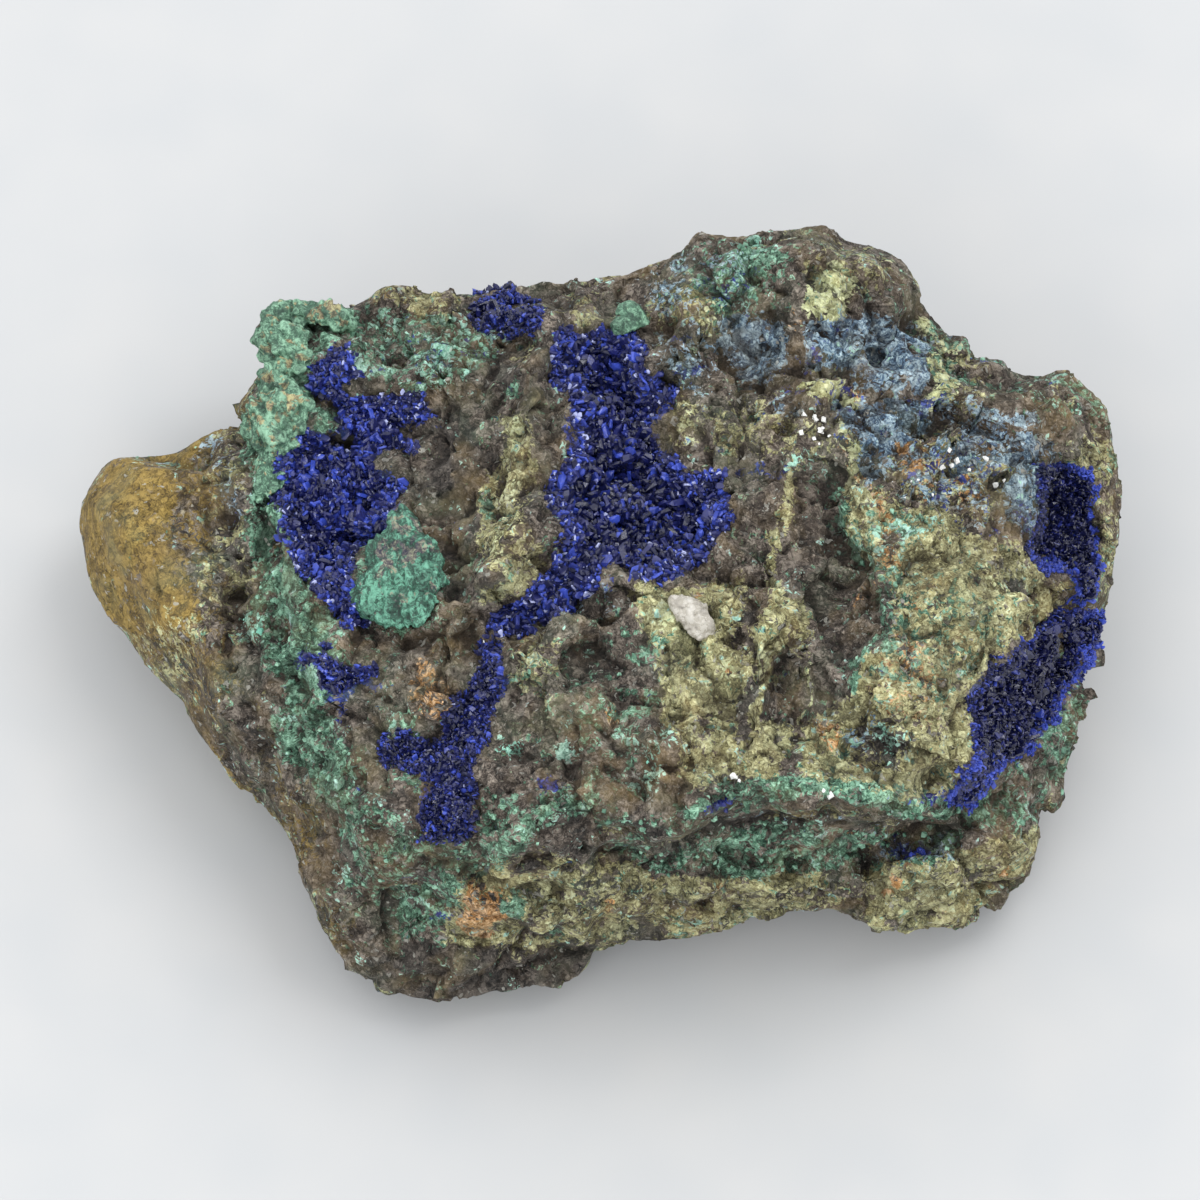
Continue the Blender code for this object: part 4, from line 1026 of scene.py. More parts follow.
PALE_COVER = (
    Zone([
        (15.8, 23.7), (17, 25.4), (19.3, 25.9), (19.7, 24.1), (18.8, 22.9), (18.2, 21), (15.5, 21),
    ], 1.05, 0.7),
    Zone([
        (15, 17), (17.6, 17.1), (18.7, 15.9), (20.5, 15.6), (20, 14.4), (17, 14.8), (15.6, 15.6),
    ], 1.15, 0.6),
    Run([(24.3, 20.7), (25.9, 19.1), (26.3, 16.4), (25.2, 15.1)], 1.7, 0.98),
    Run([(18.2, 13.2), (19.3, 11.5), (19.1, 9)], 1.1, 0.95),
    Run([(-6.3, 13), (-6.5, 9.2), (-7, 5.4), (-7.8, 0.9)], 1.2, 0.58),
    Run([(15.5, -4.2), (15.8, -6.9), (15.6, -9.5)], 0.35, 0.9),
    Run([(13.5, 3.1), (13, -0.8), (12, -4.6), (11.6, -7.6)], 0.5, 0.72),
    *rounds(
        (8.6, 21.6, 2.1, 1.9, 0.6), (-7.7, 1.5, 1.2, 1.5, 0.62), (5.4, -1, 2.3, 2.1, 0.62),
        (9.6, -5, 0.5, 0.5, 0.8), (26.4, 9.2, 5, 3.1, 0.76), (9.2, -5.4, 1.5, 2.3, 0.52),
        (12, -0.4, 1, 1.1, 0.6), (6.5, 13.4, 0.7, 1.9, 0.6), (8.1, 21.8, 1.2, 1.1, 0.52),
        (36.7, 11.6, 1.1, 1.6, 0.5), (21, 5.5, 2.8, 2.9, 0.66), (30.6, 1.1, 3.1, 1.9, 0.45),
        (-5.4, -4.8, 1.1, 2.1, 0.56), (-2.3, -22.6, 5.4, 2.7, 0.4), (23.7, -4.6, 3.8, 4.6, 0.36),
        (26.8, -22.8, 3.8, 2.1, 0.38),
    ),
)
RUST_COVER = (
    Run([(19.3, 0), (21.7, 3.1), (22.9, 6.1)], 0.9, 0.56),
    Run([(18.2, 12.2), (21.4, 6.1), (23.3, 0), (23.9, -4.6), (19.9, -12.2)], 1, 0.5),
    *rounds(
        (-12.7, -7, 2, 2.8, 0.92), (-8.8, -23.3, 1.5, 1.6, 2.4, 20, 0.8), (22.3, 1.9, 1.2, 0.8, 0.82),
        (22.9, -4.1, 0.7, 1.1, 0.82), (23.5, -6.1, 4, 6.1, 0.36), (0.8, -9, 0.5, 1.3, 0.75),
        (0.7, -23.3, 0.9, 0.8, 0.78), (4.1, -20.7, 0.6, 0.6, 0.8), (8.9, -21.5, 0.6, 0.6, 0.8),
        (18.4, -17.8, 0.6, 0.6, 0.8), (21.9, -22, 0.8, 0.7, 0.9), (23, -20.1, 0.7, 0.6, 0.85),
        (26.5, -23.4, 0.7, 0.6, 0.85), (29.4, -22.4, 0.6, 0.6, 0.85), (30.5, -20.4, 0.7, 0.7, 0.85),
        (17.1, -10.7, 0.8, 1.9, 0.62), (9.3, -5, 0.7, 0.8, 0.6), (19.4, 24.9, 0.6, 0.6, 0.85),
        (26.4, 9.4, 5, 3.6, 0.44), (23.1, 11.7, 0.8, 0.7, 1.2), (23.6, 9.9, 1.6, 0.7, 1.1),
        (29.6, 9.8, 1, 2.5, 0.62), (19.7, 15.8, 1, 0.7, 0.7), (14.5, 20.8, 0.8, 1.3, 0.5),
        (-6.2, 0.9, 0.8, 0.9, 0.6), (7.7, 0.3, 0.8, 0.5, 0.75), (-11.1, 8, 1.1, 1.9, 0.5),
        (-5.9, -3.2, 0.5, 0.6, 0.8), (6.1, -22.6, 6.1, 2.7, 0.36), (-25.6, -11.1, 2.7, 4.2, 0.34),
    ),
)
MALACHITE_COVER = (
    Zone([
        (-26.5, 21.8), (-22.9, 22.9), (-19, 22.3), (-19, 20), (-21.3, 19.1), (-22, 13.8), (-23.7, 12.2),
        (-24.2, 7.6), (-22.9, 3.1), (-20.7, -0.6), (-19, -3.1), (-22.9, -4.2), (-22.9, -6.9), (-19.5, -9.9),
        (-17.2, -14.5), (-12.2, -18.7), (-7.6, -19.3), (-9.2, -21.4), (-12.2, -24.9), (-15.3, -25.6),
        (-19.5, -19.1), (-23.7, -9.9), (-25.9, -3.1), (-26.6, 6.1), (-27.2, 12.2), (-25.9, 16.4),
    ], 0.92, 1.4),
    Zone(UPPER_SHELF, 0.56, 1.2),
    Zone([(-25.9, 0.2), (-21.6, -0.5), (-19, -3.8), (-19.4, -6.4), (-22.9, -8.1), (-25.4, -5.8)], 1.16, 1.4),
    Zone([(-25.9, 9.9), (-24.2, 10.1), (-23.3, 0.8), (-25.6, 0)], 1.1, 1),
    Run([(-23.7, -9.2), (-20.7, -13.8), (-17.4, -19.1)], 1.9, 0.98),
    Run(LEDGE, 1.7, 0.86),
    Zone([
        (0, -18.4), (7.6, -17.6), (15.3, -16.8), (27.5, -17.6), (26.4, -20.5), (18.4, -20.3), (12.2, -21),
        (1.5, -20),
    ], 0.68, 1.2),
    Run(OLIVE_DOME_EDGE, 0.9, 0.8),
    Run([(25.6, 21), (28.7, 19), (33.3, 17.4), (37.5, 15.9), (39.4, 10.7)], 1, 0.55),
    *rounds(
        (-15.2, 1.5, 4.7, 5.4, 0.8), (10.5, 24.8, 3.6, 3.2, 0.78), (12, 26.2, 1.9, 1.8, 1.05),
        (21.6, 5.1, 3.6, 3.2, 0.45), (9.3, 22.3, 1.8, 1.4, 0.62), (35.4, -11.2, 2.1, 5.9, 0.8),
        (30, -15.5, 5.2, 2.9, 0.62), (-8.3, 7.2, 0.6, 1.2, 0.85), (-5, -5.4, 2, 2.3, 0.42),
        (25.2, -2.3, 5.4, 5.4, 0.44), (-14.9, -11.5, 1.9, 3.8, 0.6), (-8, -16.8, 5, 3.1, 0.55),
        (1.5, -7.6, 4.6, 7.6, 0.36), (5.7, -24.3, 2.7, 1, 0.4), (13, -17.2, 5.4, 1.9, 0.58),
        (37.1, 3.4, 1.9, 6.5, 0.4), (35.8, -12.2, 1.3, 4.6, 0.7), (-13.4, -27.9, 3.4, 2.7, 0.42),
        (25.6, 18.4, 1.9, 3.1, 0.4), (17.4, -13.5, 0.5, 0.6, 0.9), (-6.7, -23.1, 0.9, 1.1, 2.2, 0, 0.7),
        (-20.8, 13.5, 1.2, 1.4, 1), (34, 15.5, 3.4, 2.4, 0.3), (-6.5, 15.9, 1.1, 1.3, 0.55),
    ),
)
BLUE_GREY_COVER = (
    Zone([
        (9.3, 21.6), (11.3, 21.9), (13.5, 20.8), (14.1, 19), (13.2, 17), (11.3, 16.2), (9.8, 17.6),
        (9, 19.5),
    ], 0.98, 0.9),
    Zone([
        (15.3, 20.7), (16.4, 21.6), (19.7, 21.9), (22.9, 21.6), (24.9, 20), (25.4, 17.6), (23.3, 15.9),
        (20.5, 16.2), (17.7, 17.3), (15.6, 17.4),
    ], 0.98, 0.9),
    Zone([
        (17.3, 15.5), (19.1, 14.8), (22.9, 15.5), (25.2, 14.7), (24.9, 12.5), (22.6, 11.8), (21.7, 8.9),
        (20, 8.7), (19.7, 11.5), (18.2, 13),
    ], 0.98, 0.8),
    Zone([
        (30.8, 12.2), (32.7, 12.9), (34.3, 11.3), (34, 7.6), (33.2, 4.2), (31.5, 4), (30.6, 6.9),
    ], 0.9, 0.9),
    Zone([(25.2, 15), (28.5, 15.9), (30.9, 13.8), (30.6, 9.9), (27.5, 8.7), (25.2, 11.3)], 0.74, 1.2),
    *rounds(
        (31.8, 13.5, 1.4, 1.1, 0.85), (14.2, 14.6, 1.1, 0.8, 0.7), (-28.5, 7.3, 1.7, 2.1, 0.86),
        (-29.2, 11.1, 1.7, 1.9, 0.5), (-7.8, 20.3, 2.1, 1.3, 0.55), (9.8, 24.9, 2.4, 2.7, 0.58),
        (6.1, 23.7, 3.1, 3.1, 0.4), (24.1, -18.9, 3.6, 1.6, 0.6), (6.9, 18, 2.8, 3, 0.62),
        (26.4, 9.4, 5, 3.6, 0.62), (-12.6, 18.4, 2.7, 2.3, 0.5), (19.5, -9.9, 2.7, 2.3, 0.5),
        (-0.6, 0.2, 2.5, 1.7, 0.42),
    ),
)
# Charcoal-dark rock, partly painted shade: the runs along the recess under the ledge, along the cracks and in
# the notch, the small rounds in the pits and the crease, and the soft patches low on the left and along the
# bottom stand in for shade.
CHARCOAL_AND_SHADE_COVER = (
    Zone([
        (14.1, 9.9), (17.7, 10.6), (18.5, 5.4), (20, 3.1), (21.7, 0), (21.7, -2.8), (18.8, -4.9),
        (18.4, -7.6), (15.3, -9.6), (14.2, -3.1), (15, 3.1),
    ], 0.2, 1.2),
    Zone([
        (-13.4, 13), (-9.9, 14.5), (-8.8, 9.9), (-9.3, 3.1), (-11.5, -1.5), (-12.5, 3.1), (-12.9, 7.6),
    ], 0.86, 1),
    Zone([(-18.7, -26.4), (-11.5, -25.9), (-3.1, -25.6), (0.6, -26), (0, -30.6), (-16.8, -31.4)], 0.72, 1.6),
    Run(BROWN_RIB, 1.3, 0.46),
    Run([(-4.6, -16.2), (0, -15.8), (4.6, -17.1), (9.2, -15.3)], 1.2, 0.6),
    Run([(-6.1, -19.7), (-0.8, -18.7), (3.8, -19), (9.2, -17), (15.3, -16.4), (22.9, -16.8)], 0.8, 0.7),
    Run([(11.3, 0), (11.6, -6.1), (10.9, -11.1)], 0.7, 0.6),
    Run([(14.2, -2.3), (14.1, -7.6)], 0.8, 0.62),
    Run([(18.8, -23.6), (20, -19.3), (24, -17.6), (27.7, -16.7)], 0.9, 0.72),
    *rounds(
        (21.5, -10.6, 2.7, 2.2, 0.7), (-26.8, -11.1, 3.1, 4.2, 0.36), (-18, -16.4, 3.4, 5.7, 0.34),
        (3.4, -24.6, 1.8, 1.4, 0.88), (-3.3, -22.3, 0.7, 0.7, 0.92), (0, -3.4, 3.1, 4.2, 0.38),
        (-3.1, -11.5, 3.1, 3.8, 0.32), (-27.8, 0.4, 1.2, 0.7, 0.95), (-28, 6.1, 2.1, 6.1, 0.52),
        (-31.7, -7.3, 3.4, 5, 0.5), (-35.2, 0.8, 2.3, 2.3, 0.4), (20.7, 12.2, 2.6, 2.6, 0.4),
        (-25.6, -3.4, 1.9, 4.2, 0.36), (-14.9, -19.1, 5.7, 8.4, 0.38), (2.3, -22.2, 9.9, 3.1, 0.3),
        (-7.2, 17.5, 1.8, 2, 0.8), (-19.4, 11.9, 1.6, 0.8, 0.8),
    ),
)
AQUA_COVER = (
    Zone(UPPER_SHELF, 0.4, 1),
    Run([(32.9, 17.4), (36, 17.4)], 0.6, 0.6),
    *rounds(
        (-11.7, 19.2, 1.7, 1, 0.75), (-9.4, 19.9, 1.7, 0.8, 0.75), (-13.8, 17.8, 1.5, 1.3, 0.65),
        (-17, 19.5, 1.7, 0.8, 0.6), (-7, -10.9, 1.2, 1.2, 0.54), (-2.4, -11.3, 1, 0.8, 0.6),
        (3.6, -12.5, 2, 2.8, 0.56), (21.6, -10.4, 1.7, 1.5, 0.52), (2, -11.1, 0.9, 1, 0.52),
        (4.8, -10.4, 1.8, 1.6, 0.47), (-26.5, -1.6, 0.7, 1.5, 0.8), (-34.5, -1, 0.4, 0.4, 0.95),
        (27.3, -4.8, 0.7, 0.7, 0.74), (7.1, -24.2, 0.5, 0.5, 0.9), (2.8, -21.6, 0.5, 0.5, 0.9),
        (14.8, 11, 1.4, 1.2, 0.62), (9.7, 19.1, 0.4, 0.4, 0.8), (-19, -6.9, 0.8, 0.8, 0.7),
        (-21.8, -5, 1.1, 1.1, 0.5), (12.2, 27, 1.6, 1.1, 0.75), (10.3, 24.5, 2.7, 2.3, 0.5),
        (21.8, 5.2, 3.4, 2.9, 0.48), (34, 15.8, 3.4, 2.1, 0.34), (-21.6, 4.6, 2.5, 3.1, 0.3),
        (-16.1, -9.2, 0.8, 3.1, 0.45), (15.7, -11.9, 1.1, 1.1, 0.4), (-22.9, 20.8, 3.4, 1.3, 0.4),
    ),
)
AZURITE_COVER = (
    *(Zone(outline, 1.0, 1.8) for outline in AZURITE_OUTLINES),
    Zone([(6.9, -16.2), (7.6, -15.1), (9.3, -14.4), (9.8, -15), (9, -16.2)], 0.95, 0.6),
    Run([(23.2, -14.7), (24.9, -14.9), (26.4, -14.5)], 0.8, 0.8),
    Run([(25.6, 6.4), (27.5, 5.5), (30.1, 5.8)], 0.6, 0.7),
    Run([(8.9, 9.2), (11.1, 9.5), (14.2, 10.1)], 0.8, 0.6),
    *rounds(
        (5.9, 19.7, 1.1, 0.6, 0.95), (6.5, 17.4, 1.9, 1.1, 0.62), (16.2, 18.6, 1, 0.8, 0.85),
        (-3.8, -13.9, 1.1, 1.2, 0.8), (-11.9, -23.9, 1.5, 1.1, 0.66), (22.9, -19, 2.4, 1.4, 0.86),
        (14.6, 28.6, 0.7, 0.4, 0.75), (34.2, 17.3, 1.5, 0.9, 0.55), (29.1, 18.3, 1.5, 0.8, 0.5),
        (16.7, 16, 7.8, 6, 0.33), (26.8, 9.2, 4.6, 3.8, 0.5), (32.5, 6.1, 1.9, 4.6, 0.42),
        (-12.8, 18.9, 5.9, 2.7, 0.4), (-27.8, 6.4, 0.8, 0.9, 0.6), (1.1, 1.5, 1.9, 1.5, 0.45),
        (10.3, 23.5, 2.7, 2.8, 0.52), (24.9, 14.5, 2.7, 2.3, 0.58), (6.1, 14.7, 3.1, 4.8, 0.34),
        (-19.7, -6.5, 4.4, 3.4, 0.42), (36.3, -1.5, 1.9, 4.6, 0.5),
    ),
)
COATINGS: dict[Mineral, Sequence[Shape]] = {
    Mineral.OCHRE: OCHRE_COVER, Mineral.OLIVE: OLIVE_COVER, Mineral.PALE: PALE_COVER,
    Mineral.RUST: RUST_COVER, Mineral.MALACHITE: MALACHITE_COVER, Mineral.BLUE_GREY: BLUE_GREY_COVER,
    Mineral.CHARCOAL_AND_SHADE: CHARCOAL_AND_SHADE_COVER, Mineral.AQUA: AQUA_COVER, Mineral.AZURITE: AZURITE_COVER,
}

# Fine relief that is smaller than the solids' own: heights in millimetres.
FINE_RELIEF = (
    Run([(-19.5, -0.9), (-16.8, -2.6), (-13.8, -2.9), (-11.5, -1.7), (-10.9, 0.8)], 0.7, -0.7),
    Run(BROWN_RIB, 1.3, 0.75),
    Run([(-2.1, 22.2), (-3.1, 19.5), (-3.7, 15.7)], 0.5, -0.45),
    Run([(-7.6, 19), (-8.3, 16.8), (-9.6, 15.1)], 0.6, -0.9),
    Run([(-14.3, 13.4), (-11.5, 14.4), (-7.6, 15)], 0.5, -0.5),
    Run([(-7.6, 9.9), (-7.8, 6.1), (-9, 3.1)], 0.4, -0.4),
    Run(LEDGE, 0.8, 0.5),
    Run([(-6.1, -19.7), (-0.8, -18.5), (3.8, -18.8), (9.2, -16.8), (15.3, -16.2), (22.9, -16.7)], 0.6, -0.8),
    Run(OLIVE_DOME_EDGE, 0.6, 0.45),
    Run([(17.3, 8), (17.7, 5), (19.3, 2.9), (20.5, 0.8), (20.8, -2.3), (18.7, -4.2)], 0.6, -0.5),
    Run([(-4.6, -3.1), (-3.1, -7.6), (0, -12.2), (3.8, -14.5)], 0.6, -0.45),
    Run([(5, -3.8), (5.2, -7.6), (6.9, -13)], 0.6, -0.5),
    Run([(11.3, 0), (11.6, -6.1), (10.9, -11.1)], 0.5, -0.7),
    Run([(14.2, -2.3), (14.1, -7.6)], 0.5, -0.6),
    Run([(9.9, 16.1), (13, 15.3), (15.3, 16.2)], 0.5, -0.4),
    Run([(18, 14.7), (20.7, 14.1), (23.3, 15)], 0.5, -0.5),
    Run([(18.7, 13), (21.4, 12.2), (23.6, 12.9)], 0.5, -0.5),
    Run([(-8.6, -27.8), (-4.6, -27.2), (0.4, -26.2)], 0.5, -0.8),
    Run([(-29.8, 12.2), (-30.1, 7.6), (-29.4, 3.1)], 0.5, -0.4),
    Run([(3.1, 19), (7.6, 19.3)], 0.5, 0.5),
    Run([(3.2, 16.8), (5.4, 16.2)], 0.4, -0.6),
    *rounds(
        (-7.7, 1.7, 1.1, 1.7, 0.5), (-5.5, -4.7, 1.5, 2.2, 0.4), (17.7, 23.3, 2, 2.2, 0.5),
        (17.7, 15.8, 2.7, 1.3, 0.4), (-27.5, 0.4, 1.1, 0.8, -1.5),
    ),
    Run([(-27.8, -0.3), (-28.2, -4)], 0.9, -0.8),
    *rounds(
        (1, -0.4, 1.5, 1.5, 0.7), (-3.3, -22.3, 0.6, 0.6, -0.7), (-8.9, -23.5, 1.5, 1.5, 0.4),
        (-6.9, -23.2, 1, 1, 0.5), (5.2, 21.6, 1, 1.3, -0.9), (-19.4, 11.6, 1.5, 0.9, -1.5),
        (-20.8, 13.5, 1.1, 1.2, 0.5), (-15.8, 10.3, 1.5, 1, 0.5),
    ),
    Run([(15.5, -4.2), (15.8, -6.9), (15.6, -9.5)], 0.4, 0.5),
    Run([(13.5, 3.1), (13, -0.8), (12, -4.6)], 0.6, 0.45),
    *rounds((14, -6.4, 1.6, 3, -0.45), (11, -7.9, 0.7, 2.2, -0.35)),
)

MOST_COVER = 0.92  # share of its strength that any coating reaches
VIEW_CELL = 1.0  # millimetres
STILL_SHOWN, WELL_HIDDEN = 2.6, 5.0  # millimetres behind the foremost place
CLEAN_KNOB = 0.24  # how much less of every other coating lies on the thick ochre
# What each coating does where nothing is placed: how much of it there is on the show side, then its mean,
# its swing and how far apart its patches are on the sides that are out of sight.
SPREAD = {
    Mineral.OCHRE: (0.0, 0.22, 0.30, 7.0), Mineral.OLIVE: (0.06, 0.36, 0.34, 8.0),
    Mineral.PALE: (-0.08, 0.10, 0.24, 5.0), Mineral.RUST: (-0.08, 0.16, 0.26, 4.0),
    Mineral.MALACHITE: (0.0, 0.20, 0.36, 9.0), Mineral.BLUE_GREY: (-0.06, 0.08, 0.34, 9.0),
    Mineral.CHARCOAL_AND_SHADE: (0.10, 0.26, 0.26, 6.0), Mineral.AQUA: (-0.12, -0.06, 0.20, 5.0),
    Mineral.AZURITE: (-0.22, -0.06, 0.26, 7.0),
}
LEFT_OCHRE = 0.66  # how much more ochre the left end has there


def in_view(across: Array, up: Array, out: Array) -> Array:
    """How far each place is the foremost one, seen straight at the show face.

    Args:
        across: How far across the face each place is.
        up: How far up it.
        out: How far each place stands out of the face.

    Returns:
        1 where nothing stands before it, 0 where something stands well before it.
    """
    columns = np.floor((across - across.min()) / VIEW_CELL).astype(int)
    rows = np.floor((up - up.min()) / VIEW_CELL).astype(int)
    cell = columns * (rows.max() + 1) + rows
    front = np.full(cell.max() + 1, -1.0e9)
    np.maximum.at(front, cell, out)
    return 1.0 - smooth_step(STILL_SHOWN, WELL_HIDDEN, front[cell] - out)


def mineral_fields(places: Array, facing: Array) -> dict[Mineral, Array]:
    """How much of each coating there is at each place, from 0 to 1.

    Args:
        places: World places in millimetres.
        facing: How far each place looks the way the show face looks, -1..1.

    Returns:
        One array a mineral.
    """
    across, up, out = FACE.to_face(places)
    shown = smooth_step(0.0, 0.30, facing) * in_view(across, up, out)
    across = across + 0.85 * wave(places, 3.3, 3) + 0.50 * wave(places, 1.4, 5)
    up = up + 0.85 * wave(places, 3.3, 4) + 0.50 * wave(places, 1.4, 6)
    fields = {}
    for mineral, shapes in COATINGS.items():
        gone = strongest(BARE_SPOTS.get(mineral, ()), across, up)
        fields[mineral] = (strongest(shapes, across, up) * MOST_COVER - gone) * shown + SPREAD[mineral][0]
    clean = smooth_step(0.5, 0.85, fields[Mineral.OCHRE]) * CLEAN_KNOB
    for mineral in COATINGS:
        if mineral is not Mineral.OCHRE:
            fields[mineral] = fields[mineral] - clean
    hidden = 1.0 - shown
    left = smooth_step(-14.0, -30.0, across)
    for seed, (mineral, (_, mean, swing, size)) in enumerate(SPREAD.items(), start=31):
        thick = LEFT_OCHRE * left if mineral is Mineral.OCHRE else 0.0
        extra = mean + thick + swing * layered(places, size, seed)
        fields[mineral] = np.clip(fields[mineral] + hidden * extra, -0.5, 1.0)
    return fields


# ---------- the rock's finish
@dataclass(frozen=True)
class Coating:
    """How one mineral lies on the rock: its tones and how ragged and crisp its edge is."""

    mineral: Mineral
    tones: Tones
    rag: float
    edge: float
    roughness: float
    which_break: int


@dataclass(frozen=True)
class RockFinish:
    """Brown gossan under its patchwork of coatings, with painted shade in its pits and between its grains,
    crests made paler by painted light and wear, and pale flecks that are partly mica and partly painted
    glints.
    """

    brown: Tones = tones((41, 35, 31), (89, 80, 72), (143, 133, 122))
    coatings: tuple[Coating, ...] = (
        Coating(Mineral.OCHRE, tones((68, 54, 25), (122, 101, 49), (155, 131, 71)), 0.70, 0.34, 0.85, 0),
        Coating(Mineral.OLIVE, tones((92, 86, 57), (160, 155, 111), (208, 206, 160)), 1.00, 0.16, 0.85, 1),
        Coating(Mineral.PALE, tones((150, 150, 100), (202, 206, 154), (226, 230, 186)), 0.90, 0.16, 0.80, 2),
        Coating(Mineral.RUST, tones((120, 82, 42), (194, 144, 88), (238, 200, 156)), 1.00, 0.18, 0.85, 0),
        Coating(Mineral.MALACHITE, tones((36, 61, 49), (86, 129, 104), (156, 203, 175)), 1.10, 0.18, 0.65, 1),
        Coating(Mineral.BLUE_GREY, tones((22, 34, 54), (88, 116, 142), (180, 202, 212)), 1.00, 0.18, 0.70, 2),
        # Charcoal-dark rock, also laid where shade falls as painted shade.
        Coating(Mineral.CHARCOAL_AND_SHADE, tones((34, 32, 30), (68, 63, 58), (108, 101, 94)), 1.05, 0.24, 0.80, 0),
        Coating(Mineral.AQUA, tones((80, 138, 120), (126, 186, 164), (184, 228, 210)), 1.10, 0.14, 0.50, 2),
        Coating(Mineral.AZURITE, tones((10, 13, 42), (34, 44, 116), (72, 90, 180)), 1.00, 0.12, 0.40, 1),
    )
    # Painted shade: the colour is multiplied by this in the pits and in the gaps between grains.
    painted_pit_shade: Colour = (0.30, 0.28, 0.27)
    # Crests lighter, partly painted light and partly wear: the colour is multiplied by this on them.
    crest_light_and_wear: Colour = (1.5, 1.5, 1.45)
    # Pale flecks, partly mica and partly painted glints.
    mica_and_glint: Colour = shade(176, 174, 164)
    washes: tuple[tuple[Colour, float], ...] = (
        (shade(164, 138, 86), 0.30), (shade(122, 146, 118), 0.20), (shade(92, 80, 70), 0.26),
    )
    # How strong the painted shade in the gaps between grains is.
    painted_gap_shade: float = 0.70
    # How strong the crests' painted light and wear is.
    crest_light_and_wear_share: float = 0.34
    granular: float = 0.95
    specular: float = 0.35
    grain_depth: float = 0.28
    grain_strength: float = 1.0

    def material(self, effects: SharedEffects) -> Material:
        """The rock's material.

        Args:
            effects: The shared groups.

        Returns:
            The material.
        """
        made, g, shader = new_material("gossan with its coatings")
        where = g.place()
        grit = g.group(effects.grit, Vector=where)
        tone, height = grit.outputs["Tone"], grit.outputs["Height"]
        own = g.fill(g.add("ShaderNodeSeparateXYZ"), Vector=grit.outputs["Shares"])
        bent = g.bent(where, 1.6, 0.5)
        breaks = [
            g.math("ADD", g.noise(g.moved(bent, (0.1 * i, 0.05, 0.02)), size, 4.0, 0.68),
                   g.math("MULTIPLY", own.outputs[i - 1], self.granular))
            for i, size in ((1, 2.4), (2, 1.5), (3, 1.9))
        ]
        colour = effects.colour(g, tone, self.brown)
        rough: Value = 0.9
        for coat in self.coatings:
            cover = g.group(
                effects.ragged_cover, Field=g.kept(coat.mineral.value),
                Break=breaks[coat.which_break], Rag=coat.rag, Edge=coat.edge,
            ).outputs["Cover"]
            colour = g.blend(cover, colour, effects.colour(g, tone, coat.tones))
            rough = g.math("ADD", g.math("MULTIPLY", rough, g.math("SUBTRACT", 1.0, cover)),
                           g.math("MULTIPLY", cover, coat.roughness))
        for i, (wash, strength) in enumerate(self.washes):
            cloud = g.noise(g.moved(bent, (0.4, 0.1 * i, 0.3)), 4.6, 2.0, 0.6)
            colour = g.blend(g.stretch(cloud, 0.45, 0.95, 0.0, strength), colour, wash)
        proud = g.kept("proud")
        # Painted shade: darker in the pits, by how far each place is sunk, and in the gaps between grains,
        # less so on the smooth ochre.
        sunk = g.stretch(proud, 0.52, 0.10, eased=True)
        smooth = g.stretch(g.kept("ochre"), 0.45, 0.85, self.painted_gap_shade, 0.0)
        sunk = g.math("MAXIMUM", sunk, g.math("MULTIPLY", grit.outputs["Gap"], smooth))
        colour = g.blend(sunk, colour, g.blend(1.0, colour, self.painted_pit_shade, "MULTIPLY"))
        # Crests paler, partly painted light and partly wear.
        crest = g.math("MULTIPLY", g.stretch(proud, 0.60, 1.0), self.crest_light_and_wear_share)
        colour = g.blend(crest, colour, g.blend(1.0, colour, self.crest_light_and_wear, "MULTIPLY"))
        # Pale, glossier flecks: partly mica, partly painted glints.
        mica_and_glint_flecks = g.stretch(own.outputs[0], 0.38, 0.44)
        colour = g.blend(g.math("MULTIPLY", mica_and_glint_flecks, 0.6), colour, self.mica_and_glint)
        rough = g.math("SUBTRACT", rough, g.math("MULTIPLY", mica_and_glint_flecks, 0.5), clamp=True)
        height = g.math("MULTIPLY", height, g.stretch(g.kept("ochre"), 0.45, 0.85, 1.0, 0.45))
        relief = g.bump(height, self.grain_depth, self.grain_strength)
        g.fill(shader, Base_Color=colour, Roughness=rough, Specular_IOR_Level=self.specular, Normal=relief)
        return made


